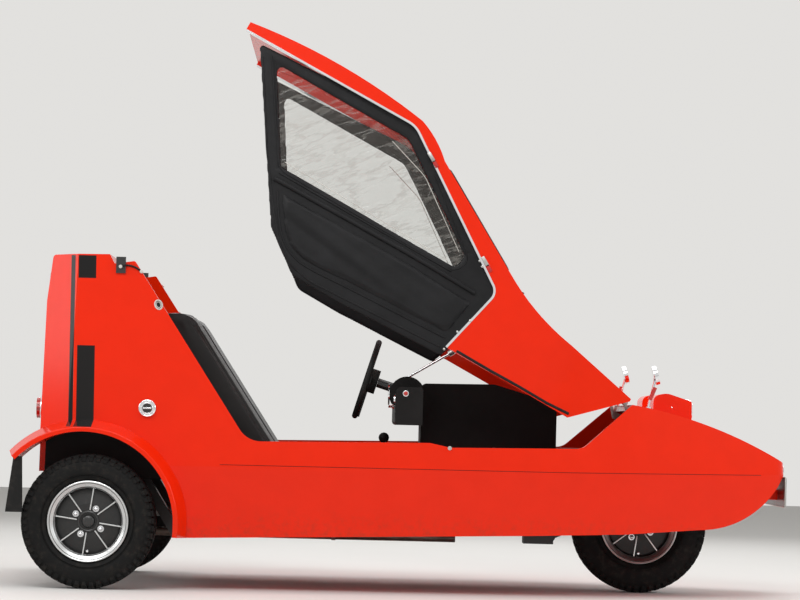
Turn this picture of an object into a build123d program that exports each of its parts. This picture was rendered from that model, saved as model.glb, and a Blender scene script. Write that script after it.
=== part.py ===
"""Small wedge shaped three wheeled car with a lift-up canopy, one wheel in front and two behind.

Millimetres. +X is forward, +Y is the car's left, +Z is up. The origin is on the ground at the
centre of the car's length and width. The canopy stands open, as the car is shown. It is modelled
in its closed place and turned about its hinge. Every panel of the body comes from one hull: an
outline seen from above that narrows upwards and downwards from the waist line, cut to a side view.
"""
from build123d import *
import os
from functools import lru_cache
from math import cos, hypot, radians, sin, tan

os.makedirs("parts", exist_ok=True)

# Overall
CLEARANCE = 0.3            # between a seated piece and its seat
WALL = 20.0                # body panels
BIG = 3000.0               # longer than the car, for cuts that run through it

# Wheels
FRONT_X = 885.0
FRONT_TYRE_R = 249.0
REAR_X = -1103.0
REAR_TYRE_R = 236.0
REAR_Y = 610.0             # half the rear track
TYRE_WIDTH = 132.0
RIM_R = 128.0              # where the tyre's bead sits
RIM_FLANGE_R = 142.0
RIM_WIDTH = 108.0
TYRE_LIP = 3.4             # how far the tyre spreads at the rim's flange

# Waist line, where the lower and upper mouldings meet; it rises a little towards the nose
WAIST_Z = 442.0            # at x = 0
WAIST_TILT = 0.43          # degrees
TUMBLE_UP = 4.46           # degrees the sides lean in above the waist
TUMBLE_DOWN = 6.0          # and below it
BEVEL_X = -1188.0          # where the wide bevel of the rear corner starts
REAR_FACE_X = -1297.0
HULL_UP = 800.0            # how far the hull's form runs above and below the waist
HULL_DOWN = 320.0
# Half the outline seen from above, at the waist: x, half width, corner radius.
# The first row lies behind the rear face, which the side view cuts.
PLAN = (
    (-1360.0, 470.0, 0.0),
    (BEVEL_X, 606.0, 45.0),
    (453.0, 590.0, 900.0),
    (800.0, 500.0, 900.0),
    (1392.0, 268.0, 60.0),
)

# Lower moulding, seen from the side
TUB_REAR_X = -812.0
TUB_REAR_Z = 182.0
TUB_MID_X = 800.0
TUB_MID_Z = 229.0
BOW_START = (1074.0, 248.0)
BOW_MID = (1262.0, 302.0)
BOW_END = (1384.0, 440.0)
FLOOR_RAISE = 40.0
FLOOR_REAR_Z = 385.0       # underside of the floor behind the tub

# Upper moulding, seen from the side
FIN_REAR_MID = (-1288.0, 1013.0)
FIN_REAR_TOP = (-1269.0, 1177.0)
FIN_FRONT_TOP = (-1062.0, 1180.0)
FIN_NOTCH = (-1044.0, 1147.0)
FIN_HORN = (-972.0, 1158.0)
SILL_REAR = (-557.0, 529.0)
FIN_FOOT_R = 90.0
SILL_STEP = (89.0, 539.0)
SILL_LOW = (161.0, 524.0)
SILL_FRONT = (632.0, 531.0)
SILL_FRONT_R = 60.0
BONNET_REAR = (812.0, 692.0)
BONNET_MID = (1130.0, 613.0)
BONNET_TIP = (1392.0, 493.0)
PLATE_STAND = 5.0          # front plate's face in front of the nose's tip
HALF_LENGTH = BONNET_TIP[0] + PLATE_STAND
NOSE_INNER_X = 1360.0
QUARTER_X = -655.0         # split between the side panels and the rear quarters
REAR_SPLIT_Y = 450.0       # split between the rear quarters and the tail panel

# Rear arches
ARCH_X = -1125.0
ARCH_Z = 228.0
ARCH_R = 322.0
FLARE_LIP_Y = 698.5
FLARE_LIP = 16.0
FLARE_ROOT = 42.0
FLARE_START = -7.0         # degrees from straight ahead, at the front foot
FLARE_END = 137.0          # and at the rear tip
WHEELHOUSE_Y = 492.0       # inner wall of the rear wheelhouse
WHEELHOUSE_WALL = 8.0

# Mudflaps, hung from the rear tips of the flares
FLAP_ANGLE = 136.3         # degrees round the arch from straight ahead
FLAP_OUT = 11.0            # outside the arch's radius
FLAP_SWEEP = 24.0
FLAP_THICK = 8.0
FLAP_LIP = 30.0
FLAP_LOW_Z = 264.0
FLAP_WIDTH = 132.0

# Tail openings
TAIL_WINDOW_HALF = 395.0
TAIL_WINDOW_Z = (872.0, 1112.0)
BOOT_HALF = 325.0
BOOT_Z = (462.0, 812.0)
BOOT_GAP = 6.0
BOOT_HINGE_R = 6.0

# Canopy, in its closed place
HINGE_X = 800.0
HINGE_Z = 700.0
CANOPY_OPEN = 28.5         # degrees from closed to the shown place
CANOPY_WALL = 20.0
CANOPY_INSET = 14.0        # from the body's side, at the sill
CANOPY_TAPER = 5.35
CANOPY_FOOT_Z = 541.0
CANOPY_BASE_Z = 470.0      # below the side screens
ROOF_REAR = (-1050.0, 1201.0)
ROOF_TOP = (-690.0, 1229.0)
ROOF_FRONT = (-341.0, 1202.0)
BROW = (-279.0, 1174.0)
SCREEN_TOP = (-201.0, 1116.0)
SCREEN_FOOT = (215.0, 876.0)
SCUTTLE_MID = (355.0, 811.0)
SCUTTLE_REAR = (514.0, 771.0)
SCUTTLE_FRONT = (800.0, 714.0)
CANOPY_NOSE_LOW = (800.0, 704.0)
CANOPY_HEEL = (632.0, CANOPY_FOOT_Z)
CANOPY_ROOF_R = 34.0
# Side opening of the canopy: x, z, corner radius
DOOR_EDGE = (
    (-1120.0, 1172.0, 0.0),
    (-352.0, 1178.0, 95.0),
    (198.0, 801.0, 48.0),
    (137.0, CANOPY_FOOT_Z, 0.0),
    (137.0, 400.0, 0.0),
    (-1120.0, 400.0, 0.0),
)
GLASS_THICK = 6.0
GLASS_TOP_STEP = 34.0      # from the top of the screen to the glass, down the slope
GLASS_SIDE = 462.0
# Side screens: x, z, corner radius
SIDE_SCREEN = (
    (-988.0, 1154.0, 12.0),
    (-620.0, 600.0, 60.0),
    (-470.0, 489.0, 60.0),
    (-280.0, 487.0, 0.0),
    (133.0, 505.0, 10.0),
    (214.0, 806.0, 48.0),
    (-350.0, 1192.0, 95.0),
)
SIDE_SCREEN_THICK = 8.0
# Clear window in the side screen: x, z, corner radius
SIDE_WINDOW = (
    (-893.0, 1119.0, 14.0),
    (-697.0, 808.0, 10.0),
    (22.0, 806.0, 18.0),
    (30.0, 858.0, 8.0),
    (-352.0, 1119.0, 80.0),
)
SIDE_WINDOW_THICK = 2.0
TRIM_R = 5.0

# Canopy hinges and stay
HINGE_Y = 300.0
HINGE_PIN_R = 5.0
HINGE_KNUCKLE_R = 9.0
HINGE_LEAF = 8.0
HINGE_LEAF_Y = 17.0
STAY_Y = 330.0
STAY_FOOT = (-20.0, 760.0)
STAY_HEAD_CLOSED = (300.0, 786.0)
STAY_TUBE_R = 10.0
STAY_TUBE_LENGTH = 262.0
STAY_ROD_R = 5.0
STAY_ROD_LENGTH = 292.0
STAY_EYE_R = 10.0
STAY_PIN_R = 4.0
STAY_EAR = 6.0               # thickness of each ear
STAY_EAR_HALF = 9.0

# Cabin
TUNNEL_HALF = 95.0
TUNNEL_TOP_Z = 345.0
TUNNEL_WALL = 10.0
ENGINE_BAY_X = (100.0, 545.0)
SEAT_WALL = 15.0
SEAT_SET_BACK = 30.0       # from the fin's front edge back to the seat bulkhead
SEAT_TOP_Z = 985.0
SEAT_FRONT_X = -70.0
SEAT_FRONT_Z = 345.0
SEAT_REAR_Z = 300.0
SEAT_Y = (48.0, 522.0)
SEAT_BACK_Y = (48.0, 496.0)
SEAT_LIFT = 14.0
SEAT_PAD = 88.0
SEAT_BACK_PAD = 84.0
ENGINE_COVER_HALF = 195.0
ENGINE_COVER_TOP = ((23.0, 754.0), (330.0, 757.0), (560.0, 690.0))
ENGINE_COVER_WALL = 10.0
DASH_X = (-36.0, 62.0)
DASH_Z = (600.0, 735.0)
DASH_HALF = 518.0
BINNACLE_Y = -300.0
BINNACLE_R = 74.0

# Pedals
PEDAL_BAR = (330.0, 520.0)
PEDAL_BAR_LENGTH = 250.0
PEDAL_ROD_R = 6.0
PEDAL_REACH = 44.0
PEDAL_PAD = 52.0
PEDAL_Z = 326.0
PEDAL_Y = (-420.0, -340.0, -260.0)

# Gear lever and handbrake, each a foot and a top: x, height above the tunnel
GEAR_FOOT = (-30.0, 4.0)
GEAR_TOP = (-70.0, 190.0)
GEAR_KNOB_R = 20.0
GAITER_R = 40.0
BRAKE_FOOT = (-250.0, 14.0)
BRAKE_TOP = (-110.0, 50.0)
LEVER_R = 6.0

# Steering
STEER_BOSS = (-139.0, -300.0, 763.0)
STEER_TILT = 17.0          # degrees the wheel's plane leans forward
STEER_RIM_R = 150.0
STEER_GRIP_R = 11.0
GRIP_SIDES = 10            # flats of the grip's section
COLUMN_R = 17.0
KINGPIN_Y = 74.0
KINGPIN_R = 12.0
KNUCKLE_TOP_Z = 58.0       # above and below the wheel's centre
KINGPIN_BOSS_R = 21.0
STUB_R = 15.0
# Front arm from its pivot to the kingpin: x, y
ARM_PATH = ((566.0, 242.0), (700.0, 242.0), (860.0, 175.0))
ARM_R = 21.0
ARM_PIVOT_Z = 196.0
ARM_BOSS_R = 28.0
ARM_BOSS_HALF = 32.0
ARM_PIN_R = 8.0
WELL_X = (585.0, 1186.0)
WELL_Y = (-212.0, 290.0)
WELL_TOP_Z = 528.0
WELL_WALL = 8.0

ENGINE_BAY_HALF = 150.0
ENGINE_X = (150.0, 535.0)
ENGINE_HALF = 140.0
ENGINE_BASE_Z = 250.0
ENGINE_HEIGHT = 430.0
GEARBOX_LENGTH = 300.0
GEARBOX_HALF = 78.0
GEARBOX_Z = (204.0, 318.0)
SHAFT_R = 24.0
SHAFT_Z = 264.0
STEER_HUB_R = 44.0
STEER_HUB_DEEP = 40.0
STEER_SPOKES = (0.0, 180.0, 270.0)
STAY_EAR_GAP = 21.0
STAY_EYE_HALF = 10.0
HUB_BORE_R = 24.0
DISC_IN = 6.0
DISC_OUT = 30.0

# Exhaust
EXHAUST_Y = 165.0
EXHAUST_Z = 178.0
EXHAUST_R = 16.0
EXHAUST_X = -1250.0
SILENCER_Z = 285.0
SILENCER_R = 50.0
SILENCER_LENGTH = 210.0
TAIL_PIPE = 147.0
HANGER = 22.0

# Fittings
HINGE_STRAP = 90.0
TRIM_WIDTH = 8.0
TRIM_PROUD = 2.0
WIPER_X = 288.0
WIPER_Y = 0.0
POD_X = (899.0, 1042.0)
POD_Y = 215.0
POD_HALF = 100.0
POD_LAMP_Z = 655.0
LAMP_R = 56.0
MIRROR_Y = 405.0
MIRROR_NEAR = (873.0, 792.0)
MIRROR_FAR = (836.0, 806.0)
REAR_LAMP_Y = (380.0, 462.0)
REAR_LAMP_Z = 630.0
REAR_LAMP_R = 37.0
FRONT_LAMP_Y = 170.0
FRONT_LAMP_HALF = 34.0
FRONT_LAMP_GAP = 4.0       # above the waist
FRONT_LAMP_HEIGHT = 26.0
PLATE_Z = 333.0
PLATE_HEIGHT = 111.0
PLATE_HALF = 260.0
SHEET = 2.5                # thickness of the front plate
RIB_Y = (60.0, 76.0)
RIB_Z = (24.0, 60.0)        # above the plate's lower edge
RIB_LENGTH = 145.0
BOOT_HINGE_IN = 105.0      # from the boot opening's side to a hinge
BOOT_HINGE_Y = BOOT_HALF - BOOT_HINGE_IN
FILLER = (-911.0, 637.0)
FILLER_R = 28.0
LATCH_PROUD = 9.0
LATCH_DROP = 34.0
LATCH_RISE = 24.0

# Chassis
CROSS_X = (-740.0, -300.0, 200.0, 480.0)
CROSS_WIDTH = 40.0
CROSS_HEIGHT = 26.0
RAIL_Y = 232.0
RAIL_WIDTH = 40.0
RAIL_HEIGHT = 46.0
RAIL_KICK_X = (-818.0, -920.0)
RAIL_REAR_X = -1262.0
RAIL_REAR_Z = FLOOR_REAR_Z - RAIL_HEIGHT
RAIL_FRONT_X = 530.0
AXLE_R = 27.0
DIFF_R = 92.0
DRUM_R = 92.0
DRUM_Y = (536.0, 578.0)
SPRING_R = 46.0
SPRING_Y = 430.0
FRONT_SPRING_R = 34.0
PLATE_THICK = 8.0


def side_z(x, points):
    """Height of a polyline of (x, z) points at x."""
    for (x0, z0), (x1, z1) in zip(points, points[1:]):
        if x0 <= x <= x1:
            return z0 + (z1 - z0) * (x - x0) / (x1 - x0)
    return points[-1][1]


def face_of(points, place, arcs=None):
    """Flat face from (a, b[, corner radius]) rows; arcs gives a mid point for the edge after a row."""
    corners = [place.from_local_coords((p[0], p[1], 0)) for p in points]
    edges = []
    for index, start in enumerate(corners):
        end = corners[(index + 1) % len(corners)]
        if arcs and index in arcs:
            middle = place.from_local_coords((*arcs[index], 0))
            edges.append(ThreePointArc(start, middle, end))
        else:
            edges.append(Line(start, end))
    face = make_face(edges)
    for corner, point in zip(corners, points):
        if len(point) > 2 and point[2] > 0:
            near = face.vertices().sort_by_distance(corner)[0]
            face = fillet(near, point[2])
    return face


def side_prism(points, y_low=-BIG / 2, y_high=BIG / 2, arcs=None):
    """Solid from a side view of (x, z[, radius]) points between two y values."""
    place = Plane(origin=(0, y_low, 0), x_dir=(1, 0, 0), z_dir=(0, -1, 0))
    return extrude(face_of(points, place, arcs), amount=y_high - y_low, dir=(0, 1, 0))


def top_prism(points, z_low, z_high):
    """Solid from a plan view of (x, y[, radius]) points between two heights."""
    return extrude(face_of(points, Plane.XY.offset(z_low)), amount=z_high - z_low)


def box(x, y, z):
    """Solid box between three (low, high) pairs."""
    size = (x[1] - x[0], y[1] - y[0], z[1] - z[0])
    return Pos((x[0] + x[1]) / 2, (y[0] + y[1]) / 2, (z[0] + z[1]) / 2) * Box(*size)


def rod(start, end, radius):
    """Round bar between two points."""
    line = Vector(*end) - Vector(*start)
    place = Plane(origin=start, z_dir=line)
    return place * Cylinder(radius, line.length, align=(Align.CENTER, Align.CENTER, Align.MIN))


def drum(x, z, radius, y_low, y_high):
    """Round bar across the car."""
    return rod((x, y_low, z), (x, y_high, z), radius)


def mirrored(shape):
    """The same shape on the car's other side."""
    return mirror(shape, about=Plane.XZ)


def pair(shape):
    """The shape and its mirror image."""
    return [shape, mirrored(shape)]


def turned(profile, centre):
    """Solid of revolution about a line across the car from (radius, y) points."""
    x, z = centre
    place = Plane(origin=(x, 0, z), x_dir=(1, 0, 0), z_dir=(0, 0, 1))
    face = face_of(profile, place)
    return revolve(face, axis=Axis((x, 0, z), (0, 1, 0)), revolution_arc=360)


def knob(centre, radius):
    """Round knob of a few flats, turned about its upright axis."""
    steps = [radians(angle) for angle in range(-90, 91, 30)]
    profile = [(radius * cos(step), radius * sin(step)) for step in steps]
    face = face_of(profile, Plane.XZ)
    return Pos(*centre) * revolve(face, axis=Axis.Z, revolution_arc=360)


def waist_z(x):
    """Height of the waist line at x."""
    return WAIST_Z + x * tan(radians(WAIST_TILT))


def rake(x, z):
    """Half width of the body's outer face at a place above the waist."""
    half = side_z(x, [(row[0], row[1]) for row in PLAN])
    return half - (z - waist_z(x)) * tan(radians(TUMBLE_UP))


@lru_cache(maxsize=None)
def hull(inset=0.0):
    """The body's outer form, drawn in by a wall, from below the tub to above the fins."""
    tilt = radians(WAIST_TILT)
    place = Plane(origin=(0, 0, WAIST_Z), x_dir=(cos(tilt), 0, sin(tilt)),
                  z_dir=(-sin(tilt), 0, cos(tilt)))
    right = [(x, -half, radius) for x, half, radius in PLAN]
    left = [(x, half, radius) for x, half, radius in reversed(PLAN)]
    outline = face_of(right + left, place)
    if inset:
        outline = offset(outline, amount=-inset, kind=Kind.INTERSECTION)
    up = extrude(outline, amount=HULL_UP, dir=place.z_dir, taper=TUMBLE_UP)
    down = extrude(outline, amount=HULL_DOWN, dir=-place.z_dir, taper=TUMBLE_DOWN)
    return up + down


def above_waist():
    """Block that holds everything above the waist line."""
    half = BIG / 2
    return side_prism([(-half, waist_z(-half)), (half, waist_z(half)), (half, BIG), (-half, BIG)])


@lru_cache(maxsize=None)
def outer_side():
    """Side view of the whole body shell, with its wheel arches filled."""
    rows = [
        (TUB_REAR_X, TUB_REAR_Z), (TUB_MID_X, TUB_MID_Z), BOW_START, BOW_END,
        (BIG, BOW_END[1]), (BIG, BONNET_TIP[1]), BONNET_TIP, BONNET_REAR,
        (*SILL_FRONT, SILL_FRONT_R), SILL_LOW, SILL_STEP, (*SILL_REAR, FIN_FOOT_R),
        (*FIN_HORN, 8), FIN_NOTCH, FIN_FRONT_TOP, (*FIN_REAR_TOP, 12), FIN_REAR_MID,
        (REAR_FACE_X, FLOOR_REAR_Z), (TUB_REAR_X, FLOOR_REAR_Z),
    ]
    return side_prism(rows, arcs={2: BOW_MID, 6: BONNET_MID})


@lru_cache(maxsize=None)
def inner_side(wall):
    """Side view of the space inside the shell, open above the cabin."""
    rows = [
        (TUB_REAR_X + wall, floor_under(TUB_REAR_X) + wall),
        (TUB_MID_X, floor_under(TUB_MID_X) + wall), (BOW_START[0], BOW_START[1] + wall),
        (BOW_END[0] - wall, BOW_END[1] + wall / 2),
        (BIG, BOW_END[1] + wall / 2), (BIG, BONNET_TIP[1] - wall),
        (BONNET_TIP[0], BONNET_TIP[1] - wall), (BONNET_REAR[0], BONNET_REAR[1] - wall),
        (BONNET_REAR[0], BIG), (FIN_FRONT_TOP[0], BIG), (FIN_FRONT_TOP[0], FIN_FRONT_TOP[1] - wall),
        (FIN_REAR_TOP[0] + wall, FIN_REAR_TOP[1] - wall), (FIN_REAR_MID[0] + wall, FIN_REAR_MID[1]),
        (REAR_FACE_X + wall, FLOOR_REAR_Z + wall), (TUB_REAR_X + wall, FLOOR_REAR_Z + wall),
    ]
    arcs = {2: (BOW_MID[0] - wall / 2, BOW_MID[1] + wall * 0.9),
            6: (BONNET_MID[0], BONNET_MID[1] - wall)}
    behind_nose = box((-BIG, NOSE_INNER_X - wall), (-BIG, BIG), (-BIG, 2 * BIG))
    return side_prism(rows, arcs=arcs) & behind_nose


def floor_under(x):
    """Height of the floor's underside, raised above the tub's lower edges."""
    return side_z(x, [(-BIG, TUB_REAR_Z + FLOOR_RAISE), (TUB_REAR_X, TUB_REAR_Z + FLOOR_RAISE),
                      (TUB_MID_X, TUB_MID_Z + FLOOR_RAISE), BOW_START, BOW_END])


@lru_cache(maxsize=None)
def inner_space(clear=0.0):
    """The space inside the shell; a clearance draws it in for a piece that seats there."""
    space = hull(WALL + clear) & inner_side(WALL + clear)
    return space


def flare_wedge():
    """Sector seen from the side that the rear arch's flare fills."""
    reach = 2 * ARCH_R
    angles = (FLARE_START, 45.0, 90.0, FLARE_END)
    rim = [(ARCH_X + reach * cos(radians(a)), ARCH_Z + reach * sin(radians(a))) for a in angles]
    return side_prism([(ARCH_X, ARCH_Z)] + rim)


def rear_flare():
    """Left arch flare, a turned lip that stands out from the body's side."""
    rows = [
        (ARCH_R, WHEELHOUSE_Y + WALL), (ARCH_R, FLARE_LIP_Y), (ARCH_R + FLARE_LIP, FLARE_LIP_Y, 6),
        (ARCH_R + FLARE_ROOT, rake(ARCH_X, ARCH_Z + ARCH_R)),
        (ARCH_R + FLARE_ROOT, WHEELHOUSE_Y + WALL),
    ]
    return turned(rows, (ARCH_X, ARCH_Z)) & flare_wedge()


def shell_panels():
    """The body's panels, by name, cut from one shell."""
    outer = hull() & outer_side()
    inner = inner_space()
    upper = above_waist()
    half = BIG / 2
    panels = {}

    block = (outer - upper) & box((TUB_REAR_X, half), (-half, half), (0, BIG))
    panels["lower_tub"] = block - inner

    block = outer & upper & box((BONNET_REAR[0], half), (-half, half), (0, BIG))
    panels["nose_deck"] = block - inner

    block = outer & upper & box((QUARTER_X, BONNET_REAR[0]), (0, half), (0, BIG))
    side = block - inner
    panels["side_panels"] = pair(side)

    rear = outer & box((-half, QUARTER_X), (-half, half), (0, BIG))
    tub_part = box((TUB_REAR_X, half), (-half, half), (0, BIG)) - upper
    rear = rear - inner - tub_part
    floor = box((-half, TUB_REAR_X), (-WHEELHOUSE_Y, WHEELHOUSE_Y),
                (FLOOR_REAR_Z, FLOOR_REAR_Z + WALL))
    tail_zone = box((-half, FIN_FRONT_TOP[0]), (-REAR_SPLIT_Y, REAR_SPLIT_Y), (0, BIG))
    wheel_space = drum(ARCH_X, ARCH_Z, ARCH_R, WHEELHOUSE_Y, half)
    side_zone = box((-half, half), (0, half), (0, BIG))
    quarter = ((rear - floor) & side_zone) - tail_zone - wheel_space
    liner = drum(ARCH_X, ARCH_Z, ARCH_R + WHEELHOUSE_WALL + CLEARANCE, WHEELHOUSE_Y, half)
    quarter = quarter - (liner & hull(WALL)) + (rear_flare() - outer)
    panels["rear_quarters"] = pair(quarter)

    tail = ((rear - floor) & tail_zone)
    hole = box((-half, FIN_FRONT_TOP[0] - 2 * WALL), (-BOOT_HALF, BOOT_HALF), BOOT_Z)
    window = box((-half, FIN_FRONT_TOP[0] - 2 * WALL), (-TAIL_WINDOW_HALF, TAIL_WINDOW_HALF),
                 TAIL_WINDOW_Z)
    panels["tail_panel"] = tail - hole - window
    gap = BOOT_GAP
    lid = tail & box((-half, FIN_FRONT_TOP[0] - 2 * WALL), (-BOOT_HALF + gap, BOOT_HALF - gap),
                     (BOOT_Z[0] + gap, BOOT_Z[1] - gap))
    panels["boot_lid"] = lid
    return panels


def tub_openings():
    """What is cut from the lower tub: the front wheel's well, the engine bay and the tunnel."""
    well = box((WELL_X[0], WELL_X[1]), WELL_Y, (0, WELL_TOP_Z))
    bay = box(ENGINE_BAY_X, (-ENGINE_BAY_HALF, ENGINE_BAY_HALF), (0, WELL_TOP_Z))
    tunnel = box((TUB_REAR_X - WALL, ENGINE_BAY_X[0]), (-TUNNEL_HALF, TUNNEL_HALF),
                 (0, TUNNEL_TOP_Z))
    return well, bay, tunnel


def lower_tub(block):
    """Lower moulding with its tunnel, open under the engine and the front wheel."""
    well, bay, tunnel = tub_openings()
    half = TUNNEL_HALF + TUNNEL_WALL
    cover = box((TUB_REAR_X, ENGINE_BAY_X[0]), (-half, half),
                (floor_under(TUB_REAR_X), TUNNEL_TOP_Z + TUNNEL_WALL))
    rows = [(TUB_REAR_X - WALL, 0), (TUB_REAR_X - WALL, floor_under(TUB_REAR_X)),
            (TUB_REAR_X, floor_under(TUB_REAR_X)), (TUB_MID_X, floor_under(TUB_MID_X)),
            BOW_START, (BOW_START[0], 0)]
    recess = hull(WALL) & side_prism(rows)
    return block + cover - tunnel - well - bay - recess


def front_wheelhouse():
    """Box over the front wheel, open below, seated in the tub's cut-out."""
    gap = CLEARANCE
    outside = box((WELL_X[0] + gap, WELL_X[1] - gap), (WELL_Y[0] + gap, WELL_Y[1] - gap),
                  (floor_under(WELL_X[0]), WELL_TOP_Z))
    wall = WELL_WALL + gap
    inside = box((WELL_X[0] + wall, WELL_X[1] - wall), (WELL_Y[0] + wall, WELL_Y[1] - wall),
                 (0, WELL_TOP_Z - WELL_WALL))
    under = hull() & outer_side()
    return (outside & under) - inside


def rear_wheelhouse():
    """Left rear wheelhouse: a round roof over the wheel and a flat inner wall."""
    wall = WHEELHOUSE_WALL
    outside = drum(ARCH_X, ARCH_Z, ARCH_R + wall, WHEELHOUSE_Y - wall, BIG / 2)
    inside = drum(ARCH_X, ARCH_Z, ARCH_R, WHEELHOUSE_Y, BIG)
    above = box((-BIG, BIG), (0, BIG), (FLOOR_REAR_Z, BIG))
    return ((outside - inside) & above) & inner_rear_space(CLEARANCE)


def inner_rear_space(clear):
    """The space inside the tail's walls, from under its floor upwards."""
    rear = REAR_FACE_X + WALL + clear
    front = TUB_REAR_X - clear
    rows = [(rear, FLOOR_REAR_Z), (front, FLOOR_REAR_Z), (front, FIN_REAR_MID[1]),
            (FIN_REAR_MID[0] + WALL + clear, FIN_REAR_MID[1]), (rear, FLOOR_REAR_Z + WALL)]
    return hull(WALL + clear) & side_prism(rows)


def boot_floor():
    """Floor of the tail between the wheelhouses."""
    half = WHEELHOUSE_Y - WHEELHOUSE_WALL - CLEARANCE
    return box((REAR_FACE_X + WALL + CLEARANCE, TUB_REAR_X - CLEARANCE), (-half, half),
               (FLOOR_REAR_Z, FLOOR_REAR_Z + WALL))


def diagonal(along, forward):
    """Point (x, z) by its way up the fin's front edge and its distance in front of it."""
    run_x = FIN_HORN[0] - SILL_REAR[0]
    run_z = FIN_HORN[1] - SILL_REAR[1]
    length = hypot(run_x, run_z)
    up = (run_x / length, run_z / length)
    out = (up[1], -up[0])
    return (SILL_REAR[0] + up[0] * along + out[0] * forward,
            SILL_REAR[1] + up[1] * along + out[1] * forward)


def diagonal_at(z, forward):
    """Point (x, z) at a height, a distance in front of the fin's front edge."""
    low = diagonal(0, forward)
    high = diagonal(1, forward)
    along = (z - low[1]) / (high[1] - low[1])
    return diagonal(along, forward)


def over_tunnel():
    """The tunnel's outer form with a clearance, cut from what stands over it."""
    half = TUNNEL_HALF + TUNNEL_WALL + CLEARANCE
    return box((-BIG, ENGINE_BAY_X[0] + CLEARANCE), (-half, half),
               (0, TUNNEL_TOP_Z + TUNNEL_WALL + CLEARANCE))


def seat_moulding():
    """Seat platform and sloping bulkhead, one moulding across the tub over the tunnel."""
    back = -SEAT_SET_BACK
    floor_z = TUB_REAR_Z + WALL
    rows = [
        (SEAT_FRONT_X, floor_z), (SEAT_FRONT_X, SEAT_FRONT_Z), diagonal_at(SEAT_REAR_Z, back),
        diagonal_at(SEAT_TOP_Z, back), diagonal_at(SEAT_TOP_Z - SEAT_WALL, back - SEAT_WALL),
        diagonal_at(SEAT_REAR_Z - SEAT_WALL, back - SEAT_WALL),
        (SEAT_FRONT_X - SEAT_WALL, SEAT_FRONT_Z - SEAT_WALL), (SEAT_FRONT_X - SEAT_WALL, floor_z),
    ]
    return (side_prism(rows) & inner_space(CLEARANCE)) - over_tunnel()


def seat_pads():
    """Left seat cushion and left back cushion, plain forms."""
    back = CLEARANCE - SEAT_SET_BACK
    front = back + SEAT_BACK_PAD
    low_z = SEAT_REAR_Z + SEAT_PAD + 4 * CLEARANCE
    rows = [
        (*diagonal_at(low_z, back), 10), (*diagonal_at(low_z + SEAT_LIFT, front), 10),
        (*diagonal_at(SEAT_TOP_Z, front), 30), (*diagonal_at(SEAT_TOP_Z, back), 20),
    ]
    back_pad = side_prism(rows, *SEAT_BACK_Y)
    low_rear = diagonal_at(SEAT_REAR_Z + CLEARANCE, back + CLEARANCE)
    rows = [
        (SEAT_FRONT_X, SEAT_FRONT_Z + CLEARANCE), (SEAT_FRONT_X, SEAT_FRONT_Z + SEAT_PAD, 34),
        (*diagonal_at(SEAT_REAR_Z + SEAT_PAD, back + CLEARANCE), 6), low_rear,
    ]
    base_pad = side_prism(rows, *SEAT_Y)
    return base_pad - over_tunnel(), back_pad


def engine_cover():
    """Moulded cover over the engine between the two foot wells."""
    top = ENGINE_COVER_TOP
    start = DASH_X[1] + CLEARANCE
    rows = [(start, 0), (start, top[0][1], 18), (*top[1], 60), (*top[2], 20), (top[2][0], 0)]
    outside = side_prism(rows, -ENGINE_COVER_HALF, ENGINE_COVER_HALF)
    wall = ENGINE_COVER_WALL
    rows = [(DASH_X[1] + wall, 0), (DASH_X[1] + wall, top[0][1] - wall),
            (top[1][0], top[1][1] - wall), (top[2][0] - wall, top[2][1] - wall),
            (top[2][0] - wall, 0)]
    inside = side_prism(rows, wall - ENGINE_COVER_HALF, ENGINE_COVER_HALF - wall)
    return ((outside - inside) & inner_space(CLEARANCE)) - over_tunnel()


@lru_cache(maxsize=None)
def outer_block():
    """The body's whole outer form as one block."""
    return hull() & outer_side()


@lru_cache(maxsize=None)
def dashboard():
    """Crossbar panel with a domed binnacle in front of the driver."""
    rows = [(DASH_X[0], DASH_Z[0], 14), (DASH_X[1], DASH_Z[0]), (DASH_X[1], DASH_Z[1], 10),
            (DASH_X[0], DASH_Z[1], 22)]
    panel = side_prism(rows, -DASH_HALF, DASH_HALF)
    pod = drum((DASH_X[0] + DASH_X[1]) / 2 - 6, DASH_Z[1] - 24, BINNACLE_R - 10,
               BINNACLE_Y - BINNACLE_R, BINNACLE_Y + BINNACLE_R)
    pod = pod & box((DASH_X[0] - 20, DASH_X[1]), (-BIG, BIG), (DASH_Z[1] - 60, BIG))
    ear_x = (STAY_FOOT[0] - STAY_EAR_HALF, STAY_FOOT[0] + STAY_EAR_HALF)
    ear_z = (DASH_Z[1] - WALL / 4, STAY_FOOT[1] + STAY_EYE_R)
    ears = [box(ear_x, (y, y + STAY_EAR), ear_z) for y in stay_ears()]
    return panel + pod + ears


def stay_ears():
    """Where the two ears of the stay's brackets start across the car."""
    gap = STAY_EAR_GAP / 2
    return (STAY_Y - gap - STAY_EAR, STAY_Y + gap)


def steering_axis():
    """Unit direction from the steering wheel down its column."""
    tilt = radians(STEER_TILT)
    return Vector(cos(tilt), 0, -sin(tilt))


def steering_column():
    """Column tube from behind the wheel's boss into the dashboard."""
    boss = Vector(*STEER_BOSS)
    axis = steering_axis()
    start = boss + axis * STEER_HUB_DEEP
    reach = (DASH_X[0] - CLEARANCE - start.X) / axis.X
    end = start + axis * (reach + 20)
    column = rod(tuple(start + axis * CLEARANCE), tuple(end), COLUMN_R)
    return column - dashboard()


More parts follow.
